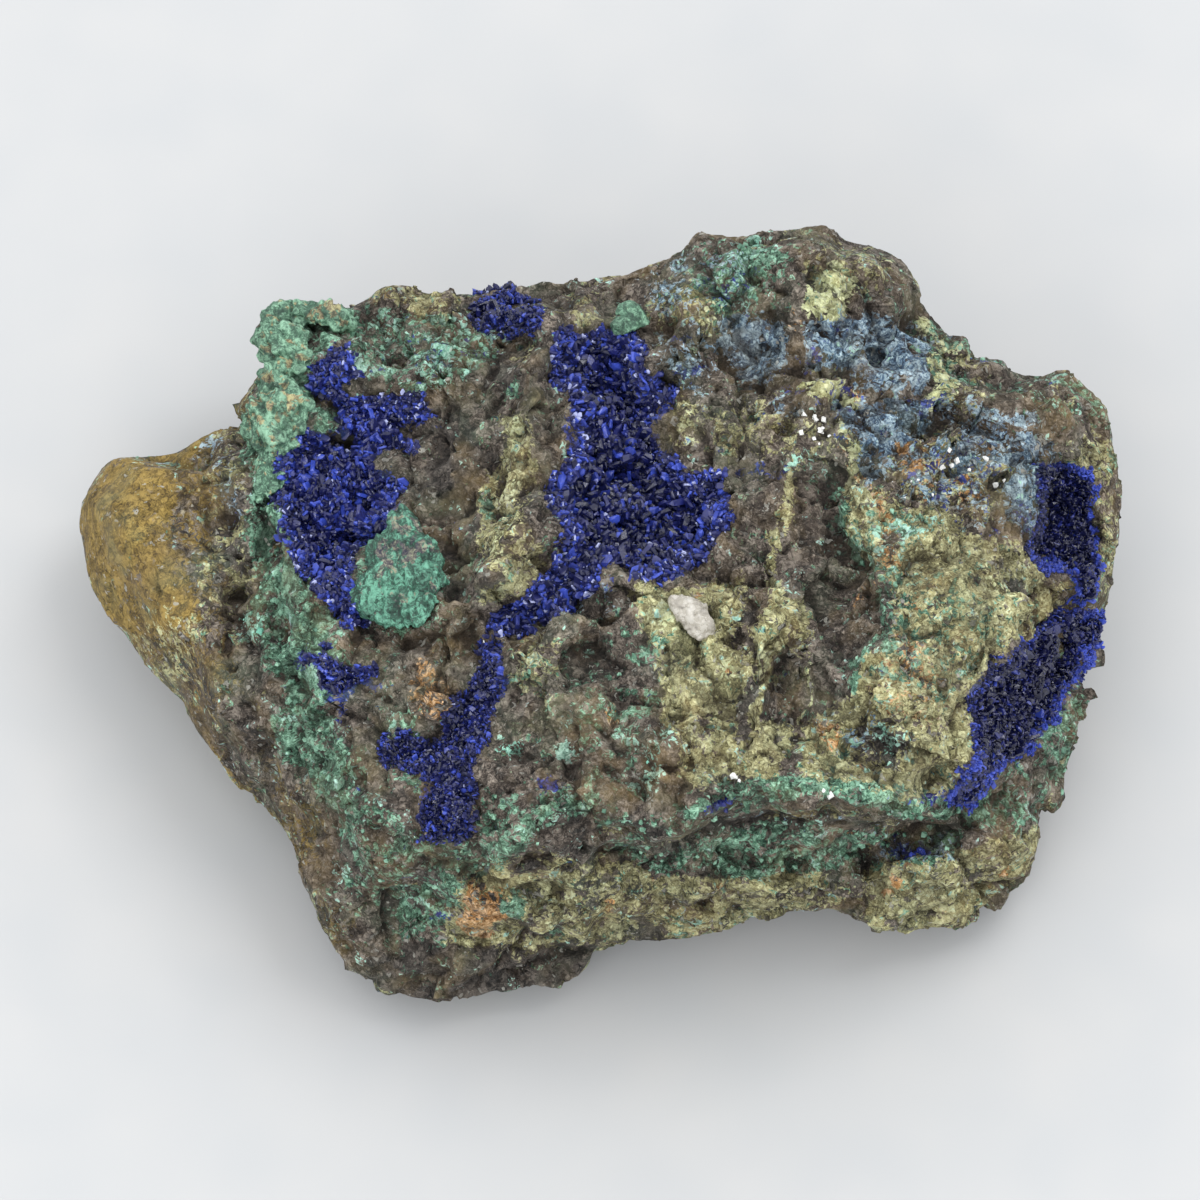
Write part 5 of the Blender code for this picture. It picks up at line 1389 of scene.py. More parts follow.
# ---------- the rock
@dataclass
class MatrixRock:
    """The broken lump of gossan that carries everything else."""

    node: str = "matrix_rock"
    voxel: float = 0.30
    smoothing: int = 12
    facet_sizes: tuple[float, ...] = (5.4, 2.8, 1.4)
    facet_leans: tuple[float, ...] = (0.18, 0.15, 0.12)
    facet_gap: float = 0.10
    sand_height: float = 0.05
    pebble_height: float = 0.07
    coat_height: float = 0.10
    level_reach: float = 1.8
    triangles: int = 186000
    finish: RockFinish = field(default_factory=RockFinish)

    def build(self, effects: SharedEffects) -> Object:
        """Makes the rock and dresses it.

        Args:
            effects: The shared groups.

        Returns:
            The rock.
        """
        rock = reshaped_copy(self.node, "broken_rock", self.voxel, self.smoothing)
        self._roughen(rock)
        self._thin(rock)
        self._keep_minerals(rock)
        rock.data.shade_smooth()
        finish_piece(rock, self.finish.material(effects), (self.node,))
        return rock

    def _roughen(self, rock: Object) -> None:
        """Gives the surface its fine relief, broken facets, crumbs and raised coatings.

        Args:
            rock: The plain rock.
        """
        places = vertex_array(rock.data)
        normals = normal_array(rock.data)
        across, up, _ = FACE.to_face(places)
        facing = normals @ FACE.out
        shown = smooth_step(0.02, 0.35, facing)
        fields = mineral_fields(places, facing)
        named = np.zeros(len(places))
        bent = across + 0.3 * wave(places, 1.6, 41), up + 0.3 * wave(places, 1.6, 42)
        for shape in FINE_RELIEF:
            named += shape.value(*bent)
        knob = smooth_step(-27.0, -31.0, across)
        broken = np.zeros(len(places))
        for size, lean, seed in zip(self.facet_sizes, self.facet_leans, (51, 52, 53)):
            push = np.stack([wave(places, size, seed + k) for k in (1, 2, 3)], axis=1)
            lift, edge = facets(places + 0.25 * size * push, size, seed)
            broken += lean * lift - self.facet_gap * (1.0 - smooth_step(0.0, 0.28 * size, edge))
        pebbles = self.pebble_height * (np.abs(wave(places, 1.5, 61)) * 1.6 - 0.35)
        pebbles += 0.8 * self.pebble_height * wave(places, 0.8, 62)
        coat = np.maximum.reduce([
            smooth_step(0.35, 0.6, fields[m] + 0.35 * wave(places, 1.3, 63))
            for m in (Mineral.OLIVE, Mineral.MALACHITE, Mineral.PALE, Mineral.AQUA)
        ])
        lumps = coat * self.coat_height * (1.0 + 1.3 * np.abs(wave(places, 0.75, 64)))
        calm = (1.0 - 0.68 * knob) * (0.28 + 0.72 * smooth_step(0.12, 0.65, np.abs(facing)))
        calm = calm * (1.0 + shown * strongest(ROUGH_GROUND, *bent))
        sand = np.random.default_rng(66).normal(0.0, self.sand_height, len(places))
        lumps += sand
        level = smooth_step(0.15, self.level_reach, places[:, 2])
        moved = places + FACE.out * (named * shown)[:, None]
        moved = moved + normals * ((broken + pebbles + lumps) * calm * level)[:, None]
        moved[:, 2] = np.maximum(moved[:, 2], 0.0)
        set_vertices(rock.data, moved)

    def _thin(self, rock: Object) -> None:
        """Brings the rock to its triangles, the hidden side first.

        Args:
            rock: The rough rock.
        """
        count = 2 * len(rock.data.polygons)
        if count <= self.triangles:
            return
        facing = normal_array(rock.data) @ FACE.out
        plain = rock.vertex_groups.new(name="plain")
        weights = 0.15 + 0.85 * (1.0 - smooth_step(-0.55, -0.05, facing))
        steps = np.round(weights * 10).astype(int)
        for step in np.unique(steps):
            plain.add(np.flatnonzero(steps == step).tolist(), float(step) / 10.0, "REPLACE")
        thin = rock.modifiers.new("thin", "DECIMATE")
        thin.ratio = self.triangles / count
        thin.vertex_group = "plain"
        thin.vertex_group_factor = 0.8
        settle_modifiers(rock)
        rock.vertex_groups.clear()

    @staticmethod
    def _keep_minerals(rock: Object) -> None:
        """Stores the coatings and the crests and pits on the mesh, for the finish to read.

        Args:
            rock: The rock, with its last mesh.
        """
        mesh = rock.data
        places = vertex_array(mesh)
        fields = mineral_fields(places, soften_values(mesh, normal_array(mesh), 6) @ FACE.out)
        for mineral, values in fields.items():
            keep_values(mesh, mineral.value, values)
        fine = standing_proud(mesh, 8, 0.30)
        broad = standing_proud(mesh, 45, 1.1)
        keep_values(mesh, "proud", 0.55 * fine + 0.45 * broad)


class Ground:
    """The finished rock surface, ready to be sown with crystals and crumbs."""

    def __init__(self, rock: Object) -> None:
        """Measures every triangle of the rock.

        Args:
            rock: The finished rock.
        """
        mesh = rock.data
        mesh.calc_loop_triangles()
        self.triangles = read_rows(mesh.loop_triangles, "vertices", 3, np.int32)
        self.places = vertex_array(mesh)
        self.normals = soften_values(mesh, normal_array(mesh), 3)
        self.normals /= np.linalg.norm(self.normals, axis=1)[:, None]
        corners = self.places[self.triangles]
        cross = np.cross(corners[:, 1] - corners[:, 0], corners[:, 2] - corners[:, 0])
        self.areas = 0.5 * np.linalg.norm(cross, axis=1)
        self.across, self.up, self.out = FACE.to_face(corners.mean(axis=1))
        self.facing = self.normals[self.triangles].mean(axis=1) @ FACE.out
        self.shown = (in_view(self.across, self.up, self.out) > 0.3) & (self.facing > -0.3)
        self.kept = {}
        for mineral in Mineral:
            values = read_rows(mesh.attributes[mineral.value].data, "value", 1, np.float32)[:, 0]
            self.kept[mineral] = values[self.triangles].mean(axis=1)

    def bare_of_crusts(self) -> Array:
        """1 where a triangle lies outside every azurite crust, else 0."""
        bare = np.ones(len(self.areas))
        for outline in AZURITE_OUTLINES:
            bare *= inside_distance(outline, self.across, self.up) < 0.2
        return bare

    def sow(self, rng: np.random.Generator, density: Array) -> tuple[Array, Array, Array]:
        """Random places on the surface.

        Args:
            rng: Where the randomness comes from.
            density: How many places a square millimetre, one value a triangle.

        Returns:
            Places, normals and the triangle that each is on.
        """
        counts = rng.poisson(self.areas * density)
        which = np.repeat(np.arange(len(counts)), counts)
        u, v = rng.random(len(which)), rng.random(len(which))
        over = u + v > 1.0
        u, v = np.where(over, 1.0 - u, u), np.where(over, 1.0 - v, v)
        share = np.stack([1.0 - u - v, u, v], axis=1)[:, :, None]
        corners = self.triangles[which]
        places = (self.places[corners] * share).sum(axis=1)
        normals = (self.normals[corners] * share).sum(axis=1)
        return places, normals / np.linalg.norm(normals, axis=1)[:, None], which


# ---------- crystals and crumbs
class Habit(Enum):
    """The shapes that crystals and crumbs grow in."""

    BLADE = "blade"
    WEDGE = "wedge"
    CHIP = "chip"


def habit_shape(habit: Habit) -> tuple[Array, Array]:
    """One crystal or crumb, a unit high, its foot at the origin.

    Args:
        habit: Which shape.

    Returns:
        Its vertices and its triangles.
    """
    if habit is Habit.CHIP:
        points = [(0.55, 0.05, 0.0), (-0.1, 0.5, 0.1), (-0.5, -0.05, -0.1), (0.1, -0.5, 0.05)]
        points += [(0.1, 0.0, -0.5), (0.3, 0.2, 0.45), (-0.25, 0.1, 0.5), (0.02, -0.28, 0.42)]
        faces = [(0, 1, 5), (1, 6, 5), (1, 2, 6), (2, 7, 6), (2, 3, 7), (3, 0, 7), (0, 5, 7)]
        faces += [(5, 6, 7), (1, 0, 4), (2, 1, 4), (3, 2, 4), (0, 3, 4)]
        return np.array(points), np.array(faces)
    if habit is Habit.BLADE:
        ring = [(-0.5, -0.2), (0.5, -0.2), (0.5, 0.2), (-0.5, 0.2)]
        crest = [(0.9 * x, 0.85 * y, 0.7 if x > 0 else 0.86) for x, y in ring]
        crest += [(-0.18, 0.0, 1.0), (0.30, 0.0, 0.84)]
        caps = [(4, 5, 9), (4, 9, 8), (5, 6, 9), (6, 7, 8), (6, 8, 9), (7, 4, 8)]
    else:
        ring = [(0.5, 0.0), (0.22, 0.32), (-0.28, 0.30), (-0.5, -0.02), (-0.2, -0.34), (0.3, -0.3)]
        crest = [(0.92 * x, 0.92 * y, 0.55 + 0.3 * x) for x, y in ring]
        crest += [(0.16, 0.06, 1.0), (-0.2, -0.04, 0.8)]
        caps = [(6, 7, 12), (7, 8, 12), (8, 13, 12), (8, 9, 13), (9, 10, 13)]
        caps += [(10, 12, 13), (10, 11, 12), (11, 6, 12)]
    points = [(x, y, -0.3) for x, y in ring] + crest
    n = len(ring)
    sides = [(i, (i + 1) % n, n + (i + 1) % n, n + i) for i in range(n)]
    faces = [(a, b, c) for a, b, c, _ in sides] + [(a, c, d) for a, _, c, d in sides] + caps
    return np.array(points), np.array(faces)


def grow(habit: Habit, places: Array, axes: Array, spins: Array,
         widths: Array, heights: Array) -> tuple[Array, Array]:
    """Copies of one habit set on the surface.

    Args:
        habit: Which shape.
        places: Where each foot is.
        axes: Which way each points.
        spins: How far each is turned about its axis.
        widths: How wide each is.
        heights: How tall each is.

    Returns:
        All their vertices and all their triangles.
    """
    points, faces = habit_shape(habit)
    helper = np.where(np.abs(axes[:, 2:3]) < 0.9, [[0.0, 0.0, 1.0]], [[1.0, 0.0, 0.0]])
    side = np.cross(axes, helper)
    side /= np.linalg.norm(side, axis=1)[:, None]
    front = np.cross(axes, side)
    c, s = np.cos(spins)[:, None], np.sin(spins)[:, None]
    side, front = side * c + front * s, front * c - side * s
    made = places[:, None, :] + side[:, None, :] * (points[None, :, 0:1] * widths[:, None, None])
    made = made + front[:, None, :] * (points[None, :, 1:2] * widths[:, None, None])
    made = made + axes[:, None, :] * (points[None, :, 2:3] * heights[:, None, None])
    start = (np.arange(len(places)) * len(points))[:, None, None]
    return made.reshape(-1, 3), (faces[None, :, :] + start).reshape(-1, 3)


def joined(parts: list[tuple[Array, Array]]) -> tuple[Array, Array]:
    """Several sets of vertices and triangles as one.

    Args:
        parts: The sets.

    Returns:
        All the vertices and all the triangles.
    """
    starts = np.cumsum([0] + [len(points) for points, _ in parts[:-1]])
    faces = [tris + start for (_, tris), start in zip(parts, starts)]
    return np.concatenate([points for points, _ in parts]), np.concatenate(faces)


@dataclass(frozen=True)
class AzuriteFinish:
    """Glassy azurite: near black where it is thick and shaded, vivid blue and velvety at the rims."""

    blue: Tones = tones((6, 8, 26), (28, 33, 88), (62, 84, 192))
    # Pale violet, partly the frosted crystals' own colour and partly painted glints.
    frost_and_glint: Colour = shade(156, 162, 200)
    refraction: float = 1.52

    def material(self, effects: SharedEffects) -> Material:
        """The azurite's material.

        Args:
            effects: The shared groups.

        Returns:
            The material.
        """
        made, g, shader = new_material("azurite")
        where = g.place()
        cloud = g.noise(where, 0.5, 3.0, 0.6)
        colour = effects.colour(g, g.total((g.kept("tone"), 0.8), (cloud, 0.2)), self.blue)
        colour = g.blend(g.stretch(g.kept("tone"), 0.93, 1.0), colour, self.frost_and_glint)
        rough = g.math("ADD", g.total((g.kept("rim"), 0.40), (cloud, 0.10)), 0.10)
        fine = g.noise(where, 0.16, 3.0, 0.6)
        relief = g.bump(fine, 0.05, 0.35)
        g.fill(shader, Base_Color=colour, Roughness=rough, Normal=relief, IOR=self.refraction)
        return made


@dataclass
class AzuriteCrust:
    """A crust of azurite crystals grown on the rock inside an outline."""

    node: str
    outline: list[Pair]
    seed: int
    core_size: float
    rim_size: float
    rim_depth: float
    # How much darker the core is, from thick crystals and from painted shade deep in the hollow.
    gloom: float
    glow: float
    bare: tuple[Shape, ...] = ()
    bareness: float = 6.0
    foot: float = 0.55
    density: float = 9.5
    # Share of crystals in the pale colour, partly frost and partly painted glints.
    frosted_and_glinting: float = 0.012
    patchy: float = 0.0
    # Which way the rim's painted light faces; (0, 0) lights the whole rim alike.
    glow_way: Pair = (0.0, 0.0)
    spread: float = 0.28
    outward: float = 0.25
    disorder: float = 0.55
    blade_share: float = 0.55
    foot_depth: float = 0.35

    def build(self, ground: Ground, dress: Material) -> None:
        """Grows the crust, as one piece.

        Args:
            ground: The rock surface.
            dress: The azurite material.
        """
        rng = np.random.default_rng(700 + self.seed)
        sheet, sheet_tone, sheet_rim = self._foot_sheet(ground)
        places, normals, depth = self._places(ground, rng)
        core = smooth_step(0.0, self.rim_depth, depth)
        size = self._usual_size(core) * rng.lognormal(0.0, self.spread, len(places))
        axes = normals + FACE.out * self.outward + rng.normal(0.0, self.disorder, places.shape)
        axes /= np.linalg.norm(axes, axis=1)[:, None]
        places = places + normals * (self.foot * 0.55 * smooth_step(-0.2, 0.8, depth))[:, None]
        places[:, 2] = np.maximum(places[:, 2], 0.9)
        tone = rng.beta(0.45, 1.05, len(places)) + self._glow_at(places) * (1.0 - core) - self.gloom * core
        tone = np.clip(tone + 0.30 * wave(places, 1.5, 95 + self.seed), 0.0, 0.9)
        # A few small crystals take the pale colour: partly frosted crystals, partly painted glints.
        tone[(rng.random(len(places)) < 1.6 * self.frosted_and_glinting) & (size < 0.9 * self.core_size)] = 1.0
        blades = rng.random(len(places)) < self.blade_share
        parts, tones, rims = [sheet], [sheet_tone], [sheet_rim]
        for habit, chosen in ((Habit.BLADE, blades), (Habit.WEDGE, ~blades)):
            tall = size[chosen] * rng.uniform(0.9, 1.5, chosen.sum())
            spins = rng.uniform(0.0, 2.0 * math.pi, chosen.sum())
            made = grow(habit, places[chosen], axes[chosen], spins, size[chosen], tall)
            parts.append(made)
            each = len(made[0]) // max(1, chosen.sum())
            tones.append(np.repeat(tone[chosen], each))
            rims.append(np.repeat(1.0 - core[chosen], each))
        piece = new_piece(self.node + "_crystals", *joined(parts))
        keep_values(piece.data, "tone", np.concatenate(tones))
        keep_values(piece.data, "rim", np.concatenate(rims))
        finish_piece(piece, dress, (self.node,))

    def _usual_size(self, core: Array) -> Array:
        """The usual width of a crystal, from 0 at the rim to 1 in the core."""
        return self.rim_size + (self.core_size - self.rim_size) * core

    def _places(self, ground: Ground, rng: np.random.Generator) -> tuple[Array, Array, Array]:
        """Where the crystals stand.

        Args:
            ground: The rock surface.
            rng: Where the randomness comes from.

        Returns:
            Places, normals and how far inside the outline each is.
        """
        depth = self._depth(ground.places[ground.triangles[:, 0]], ground.across, ground.up)
        size = self._usual_size(smooth_step(0.0, self.rim_depth, depth))
        inside = (depth > -0.15) & ground.shown
        density = np.where(inside, self.density * (0.62 / size) ** 1.6, 0.0)
        places, normals, which = ground.sow(rng, density)
        return places, normals, depth[which]

    def _glow_at(self, places: Array) -> Array:
        """How bright the rim is at each place, with painted shade that makes it weaker on the side away from
        the light.

        Args:
            places: World places in millimetres.

        Returns:
            One value a place.
        """
        if not any(self.glow_way):
            return np.full(len(places), self.glow)
        across, up, _ = FACE.to_face(places)
        middle = np.mean(np.array(self.outline), axis=0)
        beside, above = across - middle[0], up - middle[1]
        turned = (beside * self.glow_way[0] + above * self.glow_way[1]) / np.hypot(beside, above)
        return self.glow * smooth_step(-0.9, 0.3, turned)

    def _depth(self, places: Array, across: Array, up: Array) -> Array:
        """How far inside the crust's ragged edge each place is.

        Args:
            places: World places in millimetres.
            across: Where each is across the face.
            up: Where each is up the face.

        Returns:
            Millimetres, less than 0 outside.
        """
        depth = inside_distance(self.outline, across, up)
        depth -= self.patchy * (1.0 + wave(places, 1.3, 60 + self.seed))
        depth += 0.75 * wave(places, 2.6, 65 + self.seed) + 0.55 * wave(places, 1.0, 70 + self.seed)
        for shape in self.bare:
            depth -= self.bareness * shape.value(across, up)
        return depth

    def _foot_sheet(self, ground: Ground) -> tuple[tuple[Array, Array], Array, Array]:
        """The solid foot that the crystals stand on: a closed skin over the rock.

        Args:
            ground: The rock surface.

        Returns:
            Its vertices and triangles, then the tone and the share of rim of each vertex.
        """
        depth = self._depth(ground.places[ground.triangles[:, 0]], ground.across, ground.up)
        chosen = ground.triangles[(depth > -0.1) & ground.shown]
        used, flat = np.unique(chosen, return_inverse=True)
        faces = flat.reshape(-1, 3)
        places, normals = ground.places[used], ground.normals[used]
        across, up, _ = FACE.to_face(places)
        inside = self._depth(places, across, up)
        swell = 1.0 + 0.5 * wave(places, 0.8, 80 + self.seed)
        lift = self.foot * smooth_step(0.0, 0.9, inside) * swell - 0.08
        top = places + normals * lift[:, None]
        bottom = places - normals * self.foot_depth
        edges = np.concatenate([faces[:, [0, 1]], faces[:, [1, 2]], faces[:, [2, 0]]])
        ordered = np.sort(edges, axis=1)
        _, first, count = np.unique(ordered, axis=0, return_index=True, return_counts=True)
        rim = edges[first[count == 1]]
        n = len(used)
        walls = [np.stack([rim[:, 1], rim[:, 0], rim[:, 0] + n], axis=1),
                 np.stack([rim[:, 1], rim[:, 0] + n, rim[:, 1] + n], axis=1)]
        skin = np.concatenate([faces, faces[:, ::-1] + n, *walls])
        core = smooth_step(0.0, self.rim_depth, inside)
        tone = 0.30 + 0.3 * wave(places, 0.6, 90 + self.seed) - self.gloom * core
        tone = np.clip(tone + self._glow_at(places) * (1.0 - core), 0.0, 0.9)
        return (np.concatenate([top, bottom]), skin), np.tile(tone, 2), np.tile(1.0 - core, 2)


@dataclass(frozen=True)
class CrumbFinish:
    """A loose grain's finish: its tones, by grain, and its gloss."""

    name: str
    tones: Tones
    roughness: float

    def material(self, effects: SharedEffects) -> Material:
        """The crumbs' material.

        Args:
            effects: The shared groups.

        Returns:
            The material.
        """
        made, g, shader = new_material(self.name)
        grit = g.group(effects.grit, Vector=g.place())
        tone = grit.outputs["Tone"]
        colour = effects.colour(g, g.total((g.kept("tone"), 0.65), (tone, 0.35)), self.tones)
        rough = g.stretch(tone, 0.0, 1.0, self.roughness - 0.1, self.roughness + 0.1)
        relief = g.bump(grit.outputs["Height"], 0.12, 0.5)
        g.fill(shader, Base_Color=colour, Roughness=rough, Normal=relief)
        return made


@dataclass
class LooseGrains:
    """Grains stuck all over part of the rock, as one piece."""

    name: str
    seed: int
    size: float
    spread: float = 0.40
    habit: Habit = Habit.CHIP
    flatness: float = 0.9
    stand: float = 0.05

    def _scatter(self, ground: Ground, want: Array) -> tuple[Object, Array, Array]:
        """Sows the grains, with no finish yet.

        Args:
            ground: The rock surface.
            want: Grains a square millimetre, one value a triangle.

        Returns:
            The piece, the rock triangle that each vertex stands on, and a share for each vertex.
        """
        rng = np.random.default_rng(900 + self.seed)
        middles = ground.places[ground.triangles[:, 0]]
        want = want * smooth_step(-0.3, 0.5, wave(middles, 1.6, 100 + self.seed))
        want = want * smooth_step(0.5, 2.0, middles[:, 2])
        places, normals, which = ground.sow(rng, want)
        sizes = np.minimum(self.size * rng.lognormal(0.0, self.spread, len(places)), 1.7 * self.size)
        axes = normals + rng.normal(0.0, 0.5, places.shape)
        axes /= np.linalg.norm(axes, axis=1)[:, None]
        places = places + normals * (sizes * self.stand)[:, None]
        spins = rng.uniform(0.0, 2.0 * math.pi, len(places))
        tall = sizes * self.flatness * rng.uniform(0.6, 1.0, len(places))
        points, faces = grow(self.habit, places, axes, spins, sizes, tall)
        each = len(points) // len(places)
        piece = new_piece(self.name, points, faces)
        return piece, np.repeat(which, each), np.repeat(rng.random(len(places)), each)


@dataclass(kw_only=True)
class Crumbs(LooseGrains):
    """Small grains of one mineral."""

    finish: CrumbFinish
    density: float
    mineral: Mineral | None = None
    threshold: float = 0.3
    places: Sequence[Shape] = ()

    def build(self, ground: Ground, effects: SharedEffects) -> None:
        """Scatters the grains, as one piece.

        Args:
            ground: The rock surface.
            effects: The shared groups.
        """
        want = strongest(self.places, ground.across, ground.up) * (ground.facing > 0.1)
        if self.mineral:
            cover = ground.kept[self.mineral]
            want = np.maximum(want, smooth_step(self.threshold, self.threshold + 0.35, cover))
        want = want * self.density * ground.bare_of_crusts()
        piece, _, shares = self._scatter(ground, want)
        keep_values(piece.data, "tone", shares)
        finish_piece(piece, self.finish.material(effects))


@dataclass
class RockChips(LooseGrains):
    """Chips of the rock itself, each with the coating that it lies on."""

    name: str = "rock_chips"
    seed: int = 4
    size: float = 0.34
    spread: float = 0.45
    flatness: float = 0.75
    stand: float = 0.0
    brown_density: float = 0.35
    coated_density: float = 1.7

    def build(self, ground: Ground, dress: Material) -> None:
        """Scatters the chips, as one piece.

        Args:
            ground: The rock surface.
            dress: The rock's material.
        """
        coated = np.maximum.reduce([
            smooth_step(0.3, 0.7, ground.kept[mineral])
            for mineral in (Mineral.OLIVE, Mineral.PALE, Mineral.MALACHITE, Mineral.BLUE_GREY)
        ])
        want = self.brown_density + (self.coated_density - self.brown_density) * coated
        want = want * (1.0 - 0.9 * smooth_step(0.4, 0.7, ground.kept[Mineral.OCHRE]))
        want = want * (0.25 + 0.75 * smooth_step(-0.2, 0.2, ground.facing)) * ground.bare_of_crusts()
        piece, which, _ = self._scatter(ground, want)
        for mineral in Mineral:
            keep_values(piece.data, mineral.value, ground.kept[mineral][which])
        # The chips count as a little proud: a touch of the rock's paler crests (painted light and wear), none
        # of its painted pit shade.
        keep_values(piece.data, "proud", np.full(len(which), 0.68))
        finish_piece(piece, dress)


# ---------- malachite and quartz
@dataclass(frozen=True)
class MalachiteFinish:
    """Silky malachite: deeper green between the fibres, paler crests and darker hollows painted as light and
    shade, and painted shade in the gaps between its granules.
    """

    name: str
    tones: Tones
    fibre_stretch: Triple
    soil: Tones = tones((62, 56, 46), (122, 112, 84), (166, 160, 118))
    soiled: float = 0.55

    def material(self, effects: SharedEffects) -> Material:
        """The malachite's material.

        Args:
            effects: The shared groups.

        Returns:
            The material.
        """
        made, g, shader = new_material(self.name)
        where = g.place()
        grit = g.group(effects.grit, Vector=where)
        fibres = g.noise(g.moved(where, (0.0, 0.0, 0.0), self.fibre_stretch), 0.55)
        proud = g.kept("proud")
        grain = g.math("SUBTRACT", grit.outputs["Tone"], 0.5)
        # Painted light and shade: the tone rises on the crests and falls in the hollows by how proud each
        # place stands.
        tone = g.total((proud, 0.60), (fibres, 0.35), (grain, 0.75), (g.kept("fresh"), 0.34))
        colour = effects.colour(g, tone, self.tones)
        stain = g.noise(g.bent(where, 1.4, 0.4), 1.2, 4.0, 0.66)
        stain = g.math("ADD", stain, g.total((proud, -0.35), (g.kept("fouled"), 0.30)))
        soil = effects.colour(g, grit.outputs["Tone"], self.soil)
        colour = g.blend(g.stretch(stain, self.soiled - 0.05, self.soiled + 0.05), colour, soil)
        # Painted shade: the dark green in the gaps between granules.
        colour = g.blend(g.math("MULTIPLY", grit.outputs["Gap"], 0.7), colour, self.tones.dark)
        relief = g.bump(g.total((fibres, 0.6), (grit.outputs["Height"], 0.5)), 0.22, 0.6)
        rough = g.stretch(fibres, 0.0, 1.0, 0.48, 0.7)
        g.fill(shader, Base_Color=colour, Roughness=rough, Normal=relief)
        return made


@dataclass
class MalachiteGrowth:
    """One rounded growth of malachite, with its granular crust."""

    node: str
    name: str
    finish: MalachiteFinish
    voxel: float
    lump: float
    granule: float
    flute: float = 0.0
    seed: int = 0
    flute_turn: float = 0.0
    fresh: tuple[Shape, ...] = ()
    fouled: tuple[Shape, ...] = ()
    smoothing: int = 6

    def build(self, effects: SharedEffects) -> None:
        """Makes the growth and dresses it.

        Args:
            effects: The shared groups.
        """
        growth = reshaped_copy(self.node, self.name, self.voxel, self.smoothing)
        places = vertex_array(growth.data)
        across, up, _ = FACE.to_face(places)
        lift = self.lump * (np.abs(wave(places, 1.4, 110 + self.seed)) * 1.7 - 0.3)
        lift += self.lump * wave(places, 2.6, 109 + self.seed)
        lift += self.granule * (np.abs(wave(places, 0.62, 111 + self.seed)) * 1.7 - 0.3)
        lift += 0.5 * self.granule * wave(places, 0.33, 112 + self.seed)
        c, s = math.cos(self.flute_turn), math.sin(self.flute_turn)
        beside, along = across * c + up * s, up * c - across * s
        streak = np.stack([beside / 0.42, along / 3.4, np.zeros(len(places))], axis=1)
        lift += self.flute * wave(streak, 1.0, 113 + self.seed)
        set_vertices(growth.data, places + normal_array(growth.data) * lift[:, None])
        keep_values(growth.data, "proud", standing_proud(growth.data, 12, 0.28))
        for name, shapes in (("fresh", self.fresh), ("fouled", self.fouled)):
            keep_values(growth.data, name, strongest(shapes, across, up))
        growth.data.shade_smooth()
        finish_piece(growth, self.finish.material(effects), (self.node,))


@dataclass(frozen=True)
class QuartzFinish:
    """Milky quartz, clearer on its fresh breaks."""

    milk: Tones = tones((128, 122, 112), (176, 170, 158), (216, 212, 204))
    transmission: float = 0.25
    refraction: float = 1.54

    def material(self, effects: SharedEffects) -> Material:
        """The quartz's material.

        Args:
            effects: The shared groups.

        Returns:
            The material.
        """
        made, g, shader = new_material("milky quartz")
        where = g.place()
        cloud = g.noise(where, 0.9, 4.0, 0.6)
        colour = effects.colour(g, cloud, self.milk)
        rough = g.stretch(cloud, 0.0, 1.0, 0.12, 0.4)
        g.fill(shader, Base_Color=colour, Roughness=rough, Normal=g.bump(g.noise(where, 0.4), 0.1, 0.4))
        g.fill(shader, IOR=self.refraction, Transmission_Weight=self.transmission)
        return made


@dataclass
class QuartzGrain:
    """The one big grain of quartz set in the olive crust."""

    node: str = "quartz_grain"
    voxel: float = 0.10
    smoothing: int = 2
    finish: QuartzFinish = QuartzFinish()

    def build(self, effects: SharedEffects) -> None:
        """Makes the grain and dresses it.

        Args:
            effects: The shared groups.
        """
        grain = reshaped_copy(self.node, "quartz_pebble", self.voxel, self.smoothing)
        places = vertex_array(grain.data)
        lift, edge = facets(places, 0.9, 121)
        lift = 0.16 * lift + 0.04 * wave(places, 0.5, 122) - 0.03 * (1.0 - smooth_step(0.0, 0.15, edge))
        set_vertices(grain.data, places + normal_array(grain.data) * lift[:, None])
        grain.data.shade_smooth()
        finish_piece(grain, self.finish.material(effects), (self.node,))


# ---------- the studio
@dataclass(frozen=True)
class PaperFinish:
    """The pale paper that the specimen stands on."""

    white: Colour = shade(176, 176, 176)
    grey: Colour = shade(172, 173, 174)
    roughness: float = 0.75
    specular: float = 0.2

    def material(self) -> Material:
        """The paper's material."""
        made, g, shader = new_material("pale paper")
        mottle = g.noise(g.place(), 9.0, 1.0, 0.5)
        colour = g.blend(mottle, self.grey, self.white)
        g.fill(shader, Base_Color=colour, Roughness=self.roughness, Specular_IOR_Level=self.specular)
        return made


